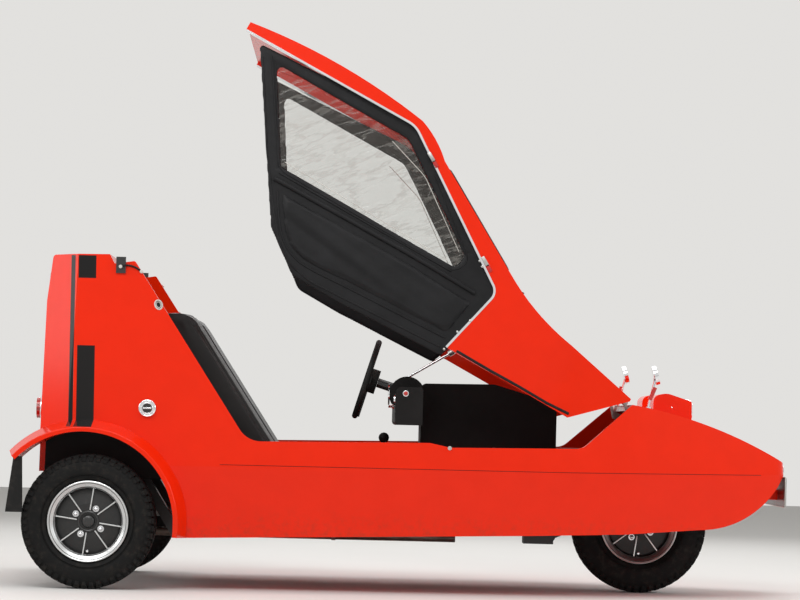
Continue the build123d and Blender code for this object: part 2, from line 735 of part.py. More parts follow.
def steering_wheel():
    """Rim, three spokes and a padded boss."""
    axis = steering_axis()
    place = Plane(origin=STEER_BOSS, x_dir=(0, 1, 0), z_dir=axis)
    reach = STEER_RIM_R - STEER_GRIP_R
    section = Plane.XZ * Pos(reach, 0) * RegularPolygon(STEER_GRIP_R, GRIP_SIDES)
    boss = Cylinder(STEER_HUB_R, STEER_HUB_DEEP, align=(Align.CENTER, Align.CENTER, Align.MIN))
    wheel = place * revolve(section, axis=Axis.Z, revolution_arc=360) + place * boss
    for angle in STEER_SPOKES:
        spoke = Pos(reach / 2, 0, STEER_HUB_DEEP / 3) * Box(reach, 26, 6)
        wheel += place * Rot(0, 0, angle) * spoke
    return wheel


def wheel_pieces(x, y, z, tyre_r, outward):
    """Rim and tyre; outward is 1 where the wheel's face looks to +Y."""
    half = RIM_WIDTH / 2
    seat = RIM_R
    flange = RIM_FLANGE_R
    rows = [
        (HUB_BORE_R, DISC_IN), (HUB_BORE_R, DISC_OUT), (HUB_BORE_R + 38, DISC_OUT),
        (seat - 17, DISC_OUT - 9), (seat - 11, half - 16), (seat - 6, half - 8),
        (flange - 6, half), (flange, half), (flange, half - 7), (seat, half - 11),
        (seat, half - 24), (seat - 9, half - 32), (seat - 9, 32 - half), (seat, 24 - half),
        (seat, 11 - half), (flange, 7 - half), (flange, -half), (flange - 6, -half),
        (seat - 6, 6 - half), (seat - 15, 34 - half), (seat - 15, DISC_IN - 4),
        (HUB_BORE_R + 38, DISC_IN),
    ]
    rim = turned([(radius, outward * across) for radius, across in rows], (x, z))
    bead = half - 11 - CLEARANCE
    broad = TYRE_WIDTH / 2
    half_rows = [
        (seat + CLEARANCE, bead), (flange + CLEARANCE, bead + TYRE_LIP), (flange + 24, broad),
        (tyre_r - 28, broad), (tyre_r - 6, broad - 12), (tyre_r, broad - 34),
    ]
    other_half = [(radius, -across) for radius, across in reversed(half_rows)]
    tyre = turned(half_rows + other_half, (x, z))
    return Pos(0, y, 0) * rim, Pos(0, y, 0) * tyre


def chassis_frame():
    """Two long rails under the floor that rise over the rear axle, and their cross members."""
    rear_z = FLOOR_REAR_Z - CLEARANCE
    top = [
        (RAIL_REAR_X, rear_z), (RAIL_KICK_X[1], rear_z),
        (RAIL_KICK_X[0], floor_under(RAIL_KICK_X[0]) - CLEARANCE),
        (RAIL_FRONT_X, floor_under(RAIL_FRONT_X) - CLEARANCE),
    ]
    lean = RAIL_HEIGHT * 0.35
    low = [
        (RAIL_FRONT_X, top[3][1] - RAIL_HEIGHT), (RAIL_KICK_X[0] - lean, top[2][1] - RAIL_HEIGHT),
        (RAIL_KICK_X[1] - lean, top[1][1] - RAIL_HEIGHT), (RAIL_REAR_X, top[0][1] - RAIL_HEIGHT),
    ]
    inner = RAIL_Y - RAIL_WIDTH / 2
    rails = pair(side_prism(top + low, inner, inner + RAIL_WIDTH))
    frame = rails[0] + rails[1]
    for x in CROSS_X:
        level = floor_under(x - CROSS_WIDTH / 2) - CLEARANCE
        if x > ENGINE_BAY_X[0]:
            level = ENGINE_BASE_Z - CLEARANCE
        frame += box((x - CROSS_WIDTH / 2, x + CROSS_WIDTH / 2), (-inner, inner),
                     (level - CROSS_HEIGHT, level))
    frame += box((RAIL_REAR_X, RAIL_REAR_X + CROSS_WIDTH), (-inner, inner),
                 (rear_z - RAIL_HEIGHT, rear_z))
    pivot_x, pivot_y = ARM_PATH[0]
    ear_low = ARM_PIVOT_Z - ARM_BOSS_R - 6
    for y in (pivot_y - ARM_BOSS_HALF - 9, pivot_y + ARM_BOSS_HALF + 1):
        frame += box((RAIL_FRONT_X - 60, pivot_x + 18), (y, y + 8),
                     (ear_low, floor_under(RAIL_FRONT_X - 60) - CLEARANCE))
    return frame + drum(pivot_x, ARM_PIVOT_Z, ARM_PIN_R, pivot_y - ARM_BOSS_HALF - 6,
                        pivot_y + ARM_BOSS_HALF + 6)


def engine():
    """Engine as one plain block on its two cross members."""
    return box(ENGINE_X, (-ENGINE_HALF, ENGINE_HALF),
               (ENGINE_BASE_Z, ENGINE_BASE_Z + ENGINE_HEIGHT))


def driveline():
    """Gearbox behind the engine and the shaft back to the axle."""
    box_front = ENGINE_X[0] - CLEARANCE
    box_rear = box_front - GEARBOX_LENGTH
    case = box((box_rear, box_front), (-GEARBOX_HALF, GEARBOX_HALF), GEARBOX_Z)
    start = (box_rear, 0, SHAFT_Z)
    end = (REAR_X + DIFF_R - 8, 0, SHAFT_Z)
    return case + rod(start, end, SHAFT_R) - rear_axle()


@lru_cache(maxsize=None)
def rear_axle():
    """Axle tube, differential and the two brake drums with their hubs."""
    z = REAR_TYRE_R
    axle = drum(REAR_X, z, AXLE_R, -DRUM_Y[0], DRUM_Y[0])
    axle += knob((REAR_X, 0, z), DIFF_R)
    face = REAR_Y + DISC_IN - CLEARANCE
    for side in (-1, 1):
        low, high = sorted((side * DRUM_Y[0], side * DRUM_Y[1]))
        axle += drum(REAR_X, z, DRUM_R, low, high)
        low, high = sorted((side * DRUM_Y[1], side * face))
        axle += drum(REAR_X, z, HUB_BORE_R + 30, low, high)
        low, high = sorted((side * face, side * (REAR_Y + DISC_OUT - 2)))
        axle += drum(REAR_X, z, HUB_BORE_R - CLEARANCE, low, high)
    return axle


def coil_damper(x, y, low, high, radius):
    """Damper body and rod with the two plates that hold its coil spring."""
    middle = (low + high) / 2
    damper = rod((x, y, low), (x, y, middle), radius * 0.45)
    damper += rod((x, y, middle), (x, y, high), radius * 0.25)
    for z in (low, high - PLATE_THICK):
        damper += rod((x, y, z), (x, y, z + PLATE_THICK), radius)
    return damper


def rear_spring():
    """Left rear damper between the axle and the floor."""
    low = REAR_TYRE_R + AXLE_R + CLEARANCE
    high = FLOOR_REAR_Z - CLEARANCE
    return coil_damper(REAR_X, SPRING_Y, low, high, SPRING_R)


def front_arm():
    """Leading arm from its pivot on the left rail to the kingpin's boss."""
    z = FRONT_TYRE_R
    points = [(x, y, ARM_PIVOT_Z if i == 0 else z) for i, (x, y) in enumerate(ARM_PATH)]
    points.append((FRONT_X, KINGPIN_Y + 20, z))
    arm = rod(points[0], points[1], ARM_R)
    for start, end in zip(points[1:], points[2:]):
        arm += rod(start, end, ARM_R)
        arm += knob(start, ARM_R)
    boss_half = KNUCKLE_TOP_Z - 14 - CLEARANCE
    arm += rod((FRONT_X, KINGPIN_Y, z - boss_half), (FRONT_X, KINGPIN_Y, z + boss_half),
               KINGPIN_BOSS_R)
    pivot_x, pivot_y = ARM_PATH[0]
    arm += drum(pivot_x, ARM_PIVOT_Z, ARM_BOSS_R, pivot_y - ARM_BOSS_HALF, pivot_y + ARM_BOSS_HALF)
    arm -= drum(pivot_x, ARM_PIVOT_Z, ARM_PIN_R + 0.05, 0, BIG)
    return arm - rod((FRONT_X, KINGPIN_Y, 0), (FRONT_X, KINGPIN_Y, 2 * z), KINGPIN_R + 0.3)


def front_knuckle():
    """Steered knuckle: kingpin with its two lugs, a web and the stub axle."""
    z = FRONT_TYRE_R
    pin = rod((FRONT_X, KINGPIN_Y, z - KNUCKLE_TOP_Z), (FRONT_X, KINGPIN_Y, z + KNUCKLE_TOP_Z),
              KINGPIN_R)
    knuckle = pin
    for low in (-KNUCKLE_TOP_Z, KNUCKLE_TOP_Z - 14):
        knuckle += rod((FRONT_X, KINGPIN_Y, z + low), (FRONT_X, KINGPIN_Y, z + low + 14),
                       KINGPIN_BOSS_R)
        knuckle += box((FRONT_X - 15, FRONT_X + 15), (KINGPIN_Y - 44, KINGPIN_Y),
                       (z + low, z + low + 14))
    knuckle += box((FRONT_X - 22, FRONT_X + 22), (KINGPIN_Y - 44, KINGPIN_Y - 28),
                   (z - KNUCKLE_TOP_Z, z + KNUCKLE_TOP_Z))
    stub_end = -DISC_OUT + 3
    knuckle += drum(FRONT_X, z, STUB_R, stub_end, KINGPIN_Y - 36)
    face = -DISC_IN + CLEARANCE
    knuckle += drum(FRONT_X, z, HUB_BORE_R + 16, face, KINGPIN_Y - 40)
    return knuckle


def front_damper():
    """Spring and damper from the front arm up to the wheelhouse roof."""
    x, y = ARM_PATH[1]
    low = FRONT_TYRE_R + ARM_R + CLEARANCE
    high = WELL_TOP_Z - WELL_WALL - CLEARANCE
    return coil_damper(x, y, low, high, FRONT_SPRING_R)


def exhaust():
    """Pipe along the left of the tunnel, silencer across the tail and a tail pipe."""
    pipe = rod((ENGINE_X[0] + 60, EXHAUST_Y, EXHAUST_Z), (EXHAUST_X, EXHAUST_Y, EXHAUST_Z),
               EXHAUST_R)
    pipe += rod((EXHAUST_X, EXHAUST_Y, EXHAUST_Z), (EXHAUST_X, EXHAUST_Y, SILENCER_Z), EXHAUST_R)
    pipe += knob((EXHAUST_X, EXHAUST_Y, EXHAUST_Z), EXHAUST_R + 2)
    pipe += drum(EXHAUST_X, SILENCER_Z, SILENCER_R, EXHAUST_Y - SILENCER_LENGTH,
                 EXHAUST_Y + SILENCER_R)
    tail_y = EXHAUST_Y - SILENCER_LENGTH + 2 * EXHAUST_R
    tail_z = SILENCER_Z - EXHAUST_R
    pipe += rod((EXHAUST_X, tail_y, tail_z), (EXHAUST_X - TAIL_PIPE, tail_y, tail_z), EXHAUST_R)
    hanger_y = EXHAUST_Y - SILENCER_LENGTH / 2
    pipe += box((EXHAUST_X - HANGER / 2, EXHAUST_X + HANGER / 2), (hanger_y, hanger_y + HANGER),
                (SILENCER_Z + SILENCER_R - HANGER / 3,
                 FLOOR_REAR_Z - RAIL_HEIGHT - 2 * CLEARANCE))
    return pipe


@lru_cache(maxsize=None)
def canopy_form(inset=0.0):
    """The canopy's outer form in its closed place, drawn in by a wall."""
    lean = tan(radians(CANOPY_TAPER))
    spread = (CANOPY_FOOT_Z - CANOPY_BASE_Z) * lean - CANOPY_INSET
    slope = (PLAN[2][1] - PLAN[3][1]) / (PLAN[3][0] - PLAN[2][0])
    front = PLAN[3][0] + 60
    rows = [(-1150.0, PLAN[1][1] - 2 + spread, 0), (PLAN[2][0], PLAN[2][1] + spread, 900),
            (front, PLAN[3][1] - 60 * slope + spread, 0)]
    right = [(x, -half, radius) for x, half, radius in rows]
    left = [(x, half, radius) for x, half, radius in reversed(rows)]
    outline = face_of(right + left, Plane.XY.offset(CANOPY_BASE_Z))
    if inset:
        outline = offset(outline, amount=-inset, kind=Kind.INTERSECTION)
    return extrude(outline, amount=BIG / 3, dir=(0, 0, 1), taper=CANOPY_TAPER)


@lru_cache(maxsize=None)
def canopy_side(wall=0.0):
    """Side view of the canopy; with a wall it is the space inside, open behind and below."""
    roof = [ROOF_REAR, ROOF_FRONT, SCREEN_TOP, SCREEN_FOOT, SCUTTLE_REAR, SCUTTLE_FRONT]
    if not wall:
        rows = roof + [CANOPY_NOSE_LOW, CANOPY_HEEL, (ROOF_REAR[0], CANOPY_FOOT_Z)]
        return side_prism(rows, arcs={0: ROOF_TOP, 1: BROW, 3: SCUTTLE_MID})
    rows = [(ROOF_REAR[0] - 200, ROOF_REAR[1] - 40)] + roof + [
        (SCUTTLE_FRONT[0] + 200, SCUTTLE_FRONT[1] - 40), (SCUTTLE_FRONT[0] + 200, 0),
        (ROOF_REAR[0] - 200, 0)]
    place = Plane(origin=(0, -BIG / 2, 0), x_dir=(1, 0, 0), z_dir=(0, -1, 0))
    face = face_of(rows, place, arcs={1: ROOF_TOP, 2: BROW, 4: SCUTTLE_MID})
    face = offset(face, amount=-wall, kind=Kind.TANGENT)
    return extrude(face, amount=BIG, dir=(0, 1, 0))


def glass_rows(clear, high, low):
    """Side view of the windscreen's opening or pane, by its distance from the outer face."""
    run_x = SCREEN_FOOT[0] - SCREEN_TOP[0]
    run_z = SCREEN_FOOT[1] - SCREEN_TOP[1]
    length = hypot(run_x, run_z)
    down = (run_x / length, run_z / length)
    out = (-down[1], down[0])
    start = GLASS_TOP_STEP + clear
    end = length - GLASS_TOP_STEP - clear
    rows = []
    for along, above in ((start, low), (end, low), (end, high), (start, high)):
        rows.append((SCREEN_TOP[0] + down[0] * along + out[0] * above,
                     SCREEN_TOP[1] + down[1] * along + out[1] * above))
    return rows


def canopy_shell():
    """Roof, screen surround and scuttle in one moulding, in its closed place."""
    shell = canopy_form() & canopy_side()
    shell = shell - (canopy_form(CANOPY_WALL) & canopy_side(CANOPY_WALL))
    shell = shell - side_prism(DOOR_EDGE)
    shell = shell - side_prism(glass_rows(0, 60, -60), -GLASS_SIDE, GLASS_SIDE)
    notch = HINGE_LEAF_Y + HINGE_LEAF + 4
    for side in (-1, 1):
        y = side * HINGE_Y
        shell = shell - box((HINGE_X - HINGE_KNUCKLE_R - 6, BIG), (y - notch, y + notch), (0, BIG))
    return shell


def hinge_leaf():
    """Canopy's half of a hinge: an eye on the pin and a strap under the scuttle."""
    reach = HINGE_STRAP
    roof_z = side_z(HINGE_X - reach, [SCUTTLE_REAR, SCUTTLE_FRONT]) - CANOPY_WALL
    near_z = side_z(HINGE_X - 24, [SCUTTLE_REAR, SCUTTLE_FRONT]) - CANOPY_WALL
    rows = [(HINGE_X - reach, roof_z - 0.2), (HINGE_X - 24, near_z - 0.2),
            (HINGE_X, HINGE_Z + HINGE_KNUCKLE_R), (HINGE_X, HINGE_Z - HINGE_KNUCKLE_R),
            (HINGE_X - reach, roof_z - 10)]
    half = HINGE_LEAF_Y - CLEARANCE
    strap = side_prism(rows, HINGE_Y - half, HINGE_Y + half)
    strap += drum(HINGE_X, HINGE_Z, HINGE_KNUCKLE_R, HINGE_Y - half, HINGE_Y + half)
    bore = drum(HINGE_X, HINGE_Z, HINGE_PIN_R + CLEARANCE / 3, HINGE_Y - 60, HINGE_Y + 60)
    return strap - bore


def hinge_bracket():
    """Body's half of a hinge: two ears under the bonnet's rear edge and the pin."""
    bracket = None
    base_z = BONNET_REAR[1] - WALL - CLEARANCE
    for low in (-HINGE_LEAF_Y - HINGE_LEAF, HINGE_LEAF_Y):
        y = HINGE_Y + low
        ear = drum(HINGE_X, HINGE_Z, HINGE_KNUCKLE_R, y, y + HINGE_LEAF)
        rows = [(HINGE_X, HINGE_Z + HINGE_KNUCKLE_R), (HINGE_X, HINGE_Z - HINGE_KNUCKLE_R),
                (HINGE_X + 8, base_z - 26), (HINGE_X + 60, base_z - 44), (HINGE_X + 60, base_z - 20),
                (HINGE_X + 11, base_z)]
        ear += side_prism(rows, y, y + HINGE_LEAF)
        bracket = ear if bracket is None else bracket + ear
    bracket += drum(HINGE_X, HINGE_Z, HINGE_PIN_R, HINGE_Y - HINGE_LEAF_Y - HINGE_LEAF,
                    HINGE_Y + HINGE_LEAF_Y + HINGE_LEAF)
    return bracket - (outer_block() - inner_space())


def opened(shape):
    """A canopy piece turned from its closed place to the shown one."""
    return shape.rotate(Axis((HINGE_X, 0, HINGE_Z), (0, 1, 0)), CANOPY_OPEN)


def turned_point(point):
    """A closed canopy point (x, z) in the shown place."""
    angle = radians(CANOPY_OPEN)
    x, z = point[0] - HINGE_X, point[1] - HINGE_Z
    return (HINGE_X + x * cos(angle) + z * sin(angle), HINGE_Z - x * sin(angle) + z * cos(angle))


def stay_bracket():
    """Two ears and a pin under the screen's foot for the stay, closed place."""
    x, z = STAY_HEAD_CLOSED
    rows = [(x - 16, z - STAY_EYE_R), (x + 16, z - STAY_EYE_R), (x + 20, BIG), (x - 20, BIG)]
    ears = [side_prism(rows, y, y + STAY_EAR) for y in stay_ears()]
    pin = drum(x, z, STAY_PIN_R, stay_ears()[0] + STAY_EAR / 3, stay_ears()[1] + STAY_EAR * 2 / 3)
    block = ears[0] + ears[1] + pin
    return block & canopy_side(CANOPY_WALL - 2)


def side_screen():
    """Left side screen: a panel inside the canopy's edge, with its window cut out."""
    outer = CANOPY_WALL + CLEARANCE
    skin = canopy_form(outer) - canopy_form(outer + SIDE_SCREEN_THICK)
    panel = skin & side_prism(SIDE_SCREEN, 0) & canopy_side(outer)
    return panel - side_prism(SIDE_WINDOW)


def side_window():
    """Left clear window, in the middle of the side screen's thickness."""
    start = CANOPY_WALL + CLEARANCE + (SIDE_SCREEN_THICK - SIDE_WINDOW_THICK) / 2
    skin = canopy_form(start) - canopy_form(start + SIDE_WINDOW_THICK)
    place = Plane(origin=(0, 0, 0), x_dir=(1, 0, 0), z_dir=(0, -1, 0))
    face = offset(face_of(SIDE_WINDOW, place), amount=-CLEARANCE, kind=Kind.INTERSECTION)
    return skin & extrude(face, amount=BIG, dir=(0, 1, 0))


def canopy_trim():
    """Left bright bead along the edge of the canopy's side opening."""
    place = Plane(origin=(0, 0, 0), x_dir=(1, 0, 0), z_dir=(0, -1, 0))
    whole = face_of(DOOR_EDGE, place)
    inside = offset(whole, amount=-TRIM_WIDTH, kind=Kind.INTERSECTION)
    strip = extrude(whole, amount=BIG, dir=(0, 1, 0)) - extrude(inside, amount=BIG, dir=(0, 1, 0))
    skin = canopy_form(-TRIM_PROUD) - canopy_form(CANOPY_WALL)
    rear = ROOF_REAR[0] + 4
    keep = side_prism([(rear, DOOR_EDGE[0][1] - 40), (DOOR_EDGE[3][0] - 4, CANOPY_FOOT_Z),
                       (DOOR_EDGE[2][0] + 80, CANOPY_FOOT_Z), (DOOR_EDGE[2][0] + 80, BIG), (rear, BIG)])
    return strip & skin & keep


def windscreen():
    """Flat windscreen pane in the canopy's opening."""
    half = GLASS_SIDE - CLEARANCE
    return side_prism(glass_rows(CLEARANCE, -3, -3 - GLASS_THICK), -half, half)


def wiper():
    """Spindle on the scuttle and an arm with its blade on the glass."""
    foot_x = WIPER_X
    roof_z = side_z(foot_x, [SCREEN_FOOT, SCUTTLE_MID, SCUTTLE_REAR])
    post = rod((foot_x, WIPER_Y, roof_z + 1), (foot_x, WIPER_Y, roof_z + 34), 9)
    post += rod((foot_x, WIPER_Y, roof_z + 30), (foot_x, WIPER_Y, roof_z + 42), 5)
    top = glass_rows(0, 26, 16)
    head = (top[3][0] + (top[2][0] - top[3][0]) * 0.12, top[3][1] + (top[2][1] - top[3][1]) * 0.12)
    tail = (foot_x, roof_z + 26)
    arm = side_prism([(head[0], head[1]), (tail[0], tail[1]), (tail[0], tail[1] + 7),
                      (head[0], head[1] + 7)], WIPER_Y - 4, WIPER_Y + 4)
    return (post + arm) - canopy_form().intersect(canopy_side())


def interior_mirror():
    """Small mirror hung from the top of the screen."""
    x, z = SCREEN_TOP[0] + 10, SCREEN_TOP[1] - 74
    glass = box((x - 8, x + 4), (-70, 70), (z - 24, z + 24))
    stem = box((x - 4, x + 2), (-7, 7), (z + 10, SCREEN_TOP[1] + 40))
    return (glass + stem) & canopy_side(CANOPY_WALL + CLEARANCE)


def stay_pieces():
    """Stay tube and rod in the shown place; the rod's eye keeps its pin, between the dash's ears."""
    head = turned_point(STAY_HEAD_CLOSED)
    foot = STAY_FOOT
    length = hypot(foot[0] - head[0], foot[1] - head[1])
    aim = ((foot[0] - head[0]) / length, (foot[1] - head[1]) / length)

    def at(distance):
        return (head[0] + aim[0] * distance, STAY_Y, head[1] + aim[1] * distance)

    eye = STAY_EYE_HALF
    tube = rod(at(STAY_EYE_R - 2), at(STAY_TUBE_LENGTH), STAY_TUBE_R)
    tube += drum(*head, STAY_EYE_R, STAY_Y - eye, STAY_Y + eye)
    tube -= drum(*head, STAY_PIN_R + 0.1, STAY_Y - 30, STAY_Y + 30)
    tube -= rod(at(STAY_EYE_R + 8), at(STAY_TUBE_LENGTH + 10), STAY_ROD_R + CLEARANCE)
    bar = rod(at(length - STAY_ROD_LENGTH), at(length - STAY_EYE_R + 2), STAY_ROD_R)
    bar += drum(*foot, STAY_EYE_R, STAY_Y - eye, STAY_Y + eye)
    return tube, bar


def headlamp_pod():
    """Left lamp pod on the bonnet, open in front for the lamp."""
    rows = [(POD_X[0], 560), (POD_X[0] + 4, 728, 26), (POD_X[0] + 52, 739, 60),
            (POD_X[1], 710, 10), (POD_X[1], 560)]
    pod = side_prism(rows, POD_Y - POD_HALF, POD_Y + POD_HALF)
    mouth = rod((POD_X[1] - 46, POD_Y, POD_LAMP_Z), (POD_X[1] + 10, POD_Y, POD_LAMP_Z), LAMP_R + 1)
    return (pod - mouth) - outer_block()


def headlamp():
    """Left lamp: a round body with a bowed glass in the pod's mouth."""
    lamp = rod((POD_X[1] - 46 + CLEARANCE, POD_Y, POD_LAMP_Z), (POD_X[1] - 12, POD_Y, POD_LAMP_Z),
               LAMP_R + 1 - CLEARANCE)
    return lamp - outer_block()


def door_mirror(base, side):
    """Wing mirror: foot, stem and round head."""
    x, z = base
    y = side * MIRROR_Y
    foot_z = bonnet_z(x)
    mirror_piece = rod((x, y, foot_z - 6), (x, y, foot_z + 10), 13)
    mirror_piece += rod((x, y, foot_z + 4), (x + 26, y - side * 4, z - 4), 4.5)
    mirror_piece += rod((x + 20, y - side * 4, z + 6), (x + 34, y - side * 4, z + 10), 34)
    return mirror_piece - outer_block()


def bonnet_z(x):
    """Height of the bonnet's top, from its three named points."""
    return side_z(x, [BONNET_REAR, BONNET_MID, BONNET_TIP])


def rear_lamps():
    """Two round lamps on each side of the rear face."""
    lamps = []
    for y in REAR_LAMP_Y:
        lamps.append(rod((REAR_FACE_X - 15, y, REAR_LAMP_Z), (REAR_FACE_X + 30, y, REAR_LAMP_Z),
                         REAR_LAMP_R) - outer_block())
    return lamps


def front_lamps():
    """Small oblong lamp under the bonnet's lip."""
    low = waist_z(BONNET_TIP[0]) + FRONT_LAMP_GAP
    lamp = box((NOSE_INNER_X, BONNET_TIP[0] + PLATE_STAND / 2),
               (FRONT_LAMP_Y - FRONT_LAMP_HALF, FRONT_LAMP_Y + FRONT_LAMP_HALF),
               (low, low + FRONT_LAMP_HEIGHT))
    return lamp - outer_block()


def front_plate():
    """Blank front plate on two ribs from the bow."""
    high = PLATE_Z + PLATE_HEIGHT
    plate = box((HALF_LENGTH - SHEET, HALF_LENGTH), (-PLATE_HALF, PLATE_HALF), (PLATE_Z, high))
    return plate


def plate_bracket():
    """Rib that carries the front plate."""
    front = HALF_LENGTH - SHEET - CLEARANCE
    rib = box((front - RIB_LENGTH, front), RIB_Y, (PLATE_Z + RIB_Z[0], PLATE_Z + RIB_Z[1]))
    return rib - outer_block()


def rear_plate():
    """Blank rear plate on the boot lid."""
    low = BOOT_Z[0] + 26
    plate = box((REAR_FACE_X - 4, REAR_FACE_X + 40), (-PLATE_HALF, PLATE_HALF),
                (low, low + PLATE_HEIGHT))
    return plate - outer_block()


def mudflap():
    """Left mudflap, a rubber sheet with an outer lip, under the arch's rear tip."""
    turn = radians(FLAP_ANGLE)
    top_x = ARCH_X + (ARCH_R + FLAP_OUT) * cos(turn)
    top_z = ARCH_Z + (ARCH_R + FLAP_OUT) * sin(turn)
    low_x = top_x - FLAP_SWEEP
    outside = FLARE_LIP_Y - FLAP_THICK
    rows = [(top_x, top_z), (top_x + FLAP_LIP, top_z), (low_x + 2 * FLAP_LIP, FLAP_LOW_Z),
            (low_x, FLAP_LOW_Z)]
    lip = side_prism(rows, outside - FLAP_THICK, outside)
    rows = [(top_x, top_z), (top_x + FLAP_THICK, top_z), (low_x + FLAP_THICK, FLAP_LOW_Z),
            (low_x, FLAP_LOW_Z)]
    sheet = side_prism(rows, outside - FLAP_WIDTH, outside)
    flap = lip + sheet
    return flap - (rear_flare() & flare_wedge())


def boot_hinge():
    """Root half of a boot hinge: end knuckles, pin and tabs above the opening."""
    x, z = boot_axis()
    piece = None
    for low in (-24, 14):
        knuckle = drum(x, z, BOOT_HINGE_R, BOOT_HINGE_Y + low, BOOT_HINGE_Y + low + 10)
        knuckle += box((x - 3, x + 30), (BOOT_HINGE_Y + low, BOOT_HINGE_Y + low + 10), (z, z + 34))
        piece = knuckle if piece is None else piece + knuckle
    piece += drum(x, z, 3.0, BOOT_HINGE_Y - 24, BOOT_HINGE_Y + 24)
    return piece - outer_block()


def boot_lid_hinge():
    """Lid's half of a boot hinge: middle knuckle and a strap down the lid."""
    x, z = boot_axis()
    piece = drum(x, z, BOOT_HINGE_R, BOOT_HINGE_Y - 13.7, BOOT_HINGE_Y + 13.7)
    piece += box((x - 3, x + 30), (BOOT_HINGE_Y - 13.7, BOOT_HINGE_Y + 13.7), (z - 60, z))
    piece -= drum(x, z, 3.1, BOOT_HINGE_Y - 40, BOOT_HINGE_Y + 40)
    return piece


def boot_axis():
    """Axis (x, z) of the boot lid's hinges, just behind the rear face."""
    z = BOOT_Z[1] - BOOT_GAP / 2
    x = side_z(z, [(FLOOR_REAR_Z, REAR_FACE_X), (FIN_REAR_MID[1], FIN_REAR_MID[0])])
    return (x - BOOT_HINGE_R - 1, z)


def tail_window():
    """Flat rear window in the tail panel."""
    tail = (hull() & outer_side()) - inner_space()
    gap = CLEARANCE
    pane = tail & box((-BIG, FIN_FRONT_TOP[0] - 2 * WALL),
                      (-TAIL_WINDOW_HALF + gap, TAIL_WINDOW_HALF - gap),
                      (TAIL_WINDOW_Z[0] + gap, TAIL_WINDOW_Z[1] - gap))
    shift = GLASS_THICK
    return pane & (Pos(-WALL + shift, 0, 0) * pane)


def pedals():
    """Three pedals hung from a bar under the dashboard."""
    bar_x, bar_z = PEDAL_BAR
    inner = -ENGINE_COVER_HALF - CLEARANCE
    bar = drum(bar_x, bar_z, PEDAL_ROD_R, inner - PEDAL_BAR_LENGTH, inner)
    face_x = bar_x - PEDAL_REACH
    pad = PEDAL_PAD / 2
    for y in PEDAL_Y:
        bar += rod((bar_x, y, bar_z), (face_x + pad / 2, y, PEDAL_Z), PEDAL_ROD_R)
        bar += box((face_x, face_x + WALL / 2), (y - pad, y + pad), (PEDAL_Z - pad, PEDAL_Z + pad))
    return bar


def hand_levers():
    """Gear lever and handbrake on the tunnel."""
    top = TUNNEL_TOP_Z + TUNNEL_WALL + CLEARANCE
    foot_x, foot_up = GEAR_FOOT
    top_x, top_up = GEAR_TOP
    gear = rod((foot_x, 0, top + foot_up), (top_x, 0, top + top_up), LEVER_R)
    gear += knob((top_x, 0, top + top_up + LEVER_R), GEAR_KNOB_R)
    gear += rod((foot_x, 0, top), (foot_x, 0, top + BRAKE_FOOT[1]), GAITER_R)
    foot_x, foot_up = BRAKE_FOOT
    brake = rod((foot_x, 0, top + foot_up), (BRAKE_TOP[0], 0, top + BRAKE_TOP[1]), 1.6 * LEVER_R)
    half = GEAR_KNOB_R
    brake += box((foot_x - half, foot_x + half), (-2 * LEVER_R, 2 * LEVER_R), (top, top + 4 * LEVER_R))
    return [gear, brake]


def fin_latch():
    """Left latch block on the outer face of the fin's notch, clear of the closed canopy."""
    x = FIN_NOTCH[0]
    z = FIN_NOTCH[1]
    y = rake(x, z)
    base = box((x + 6, x + 40), (y - WALL / 2, y + LATCH_PROUD), (z - LATCH_DROP, z + LATCH_RISE))
    over_top = box((-BIG, BIG), (0, y + CLEARANCE), (z - WALL, BIG))
    return (base - outer_block()) - over_top


def filler_cap():
    """Round fuel cap on the right side."""
    x, z = FILLER
    y = rake(x, z)
    return rod((x, -y + 30, z), (x, -y - 9, z), FILLER_R) - outer_block()


def front_wheel():
    """Front rim and tyre, its face to the car's right."""
    return wheel_pieces(FRONT_X, 0, FRONT_TYRE_R, FRONT_TYRE_R, -1)


def rear_wheel():
    """Left rear rim and tyre."""
    return wheel_pieces(REAR_X, REAR_Y, REAR_TYRE_R, REAR_TYRE_R, 1)


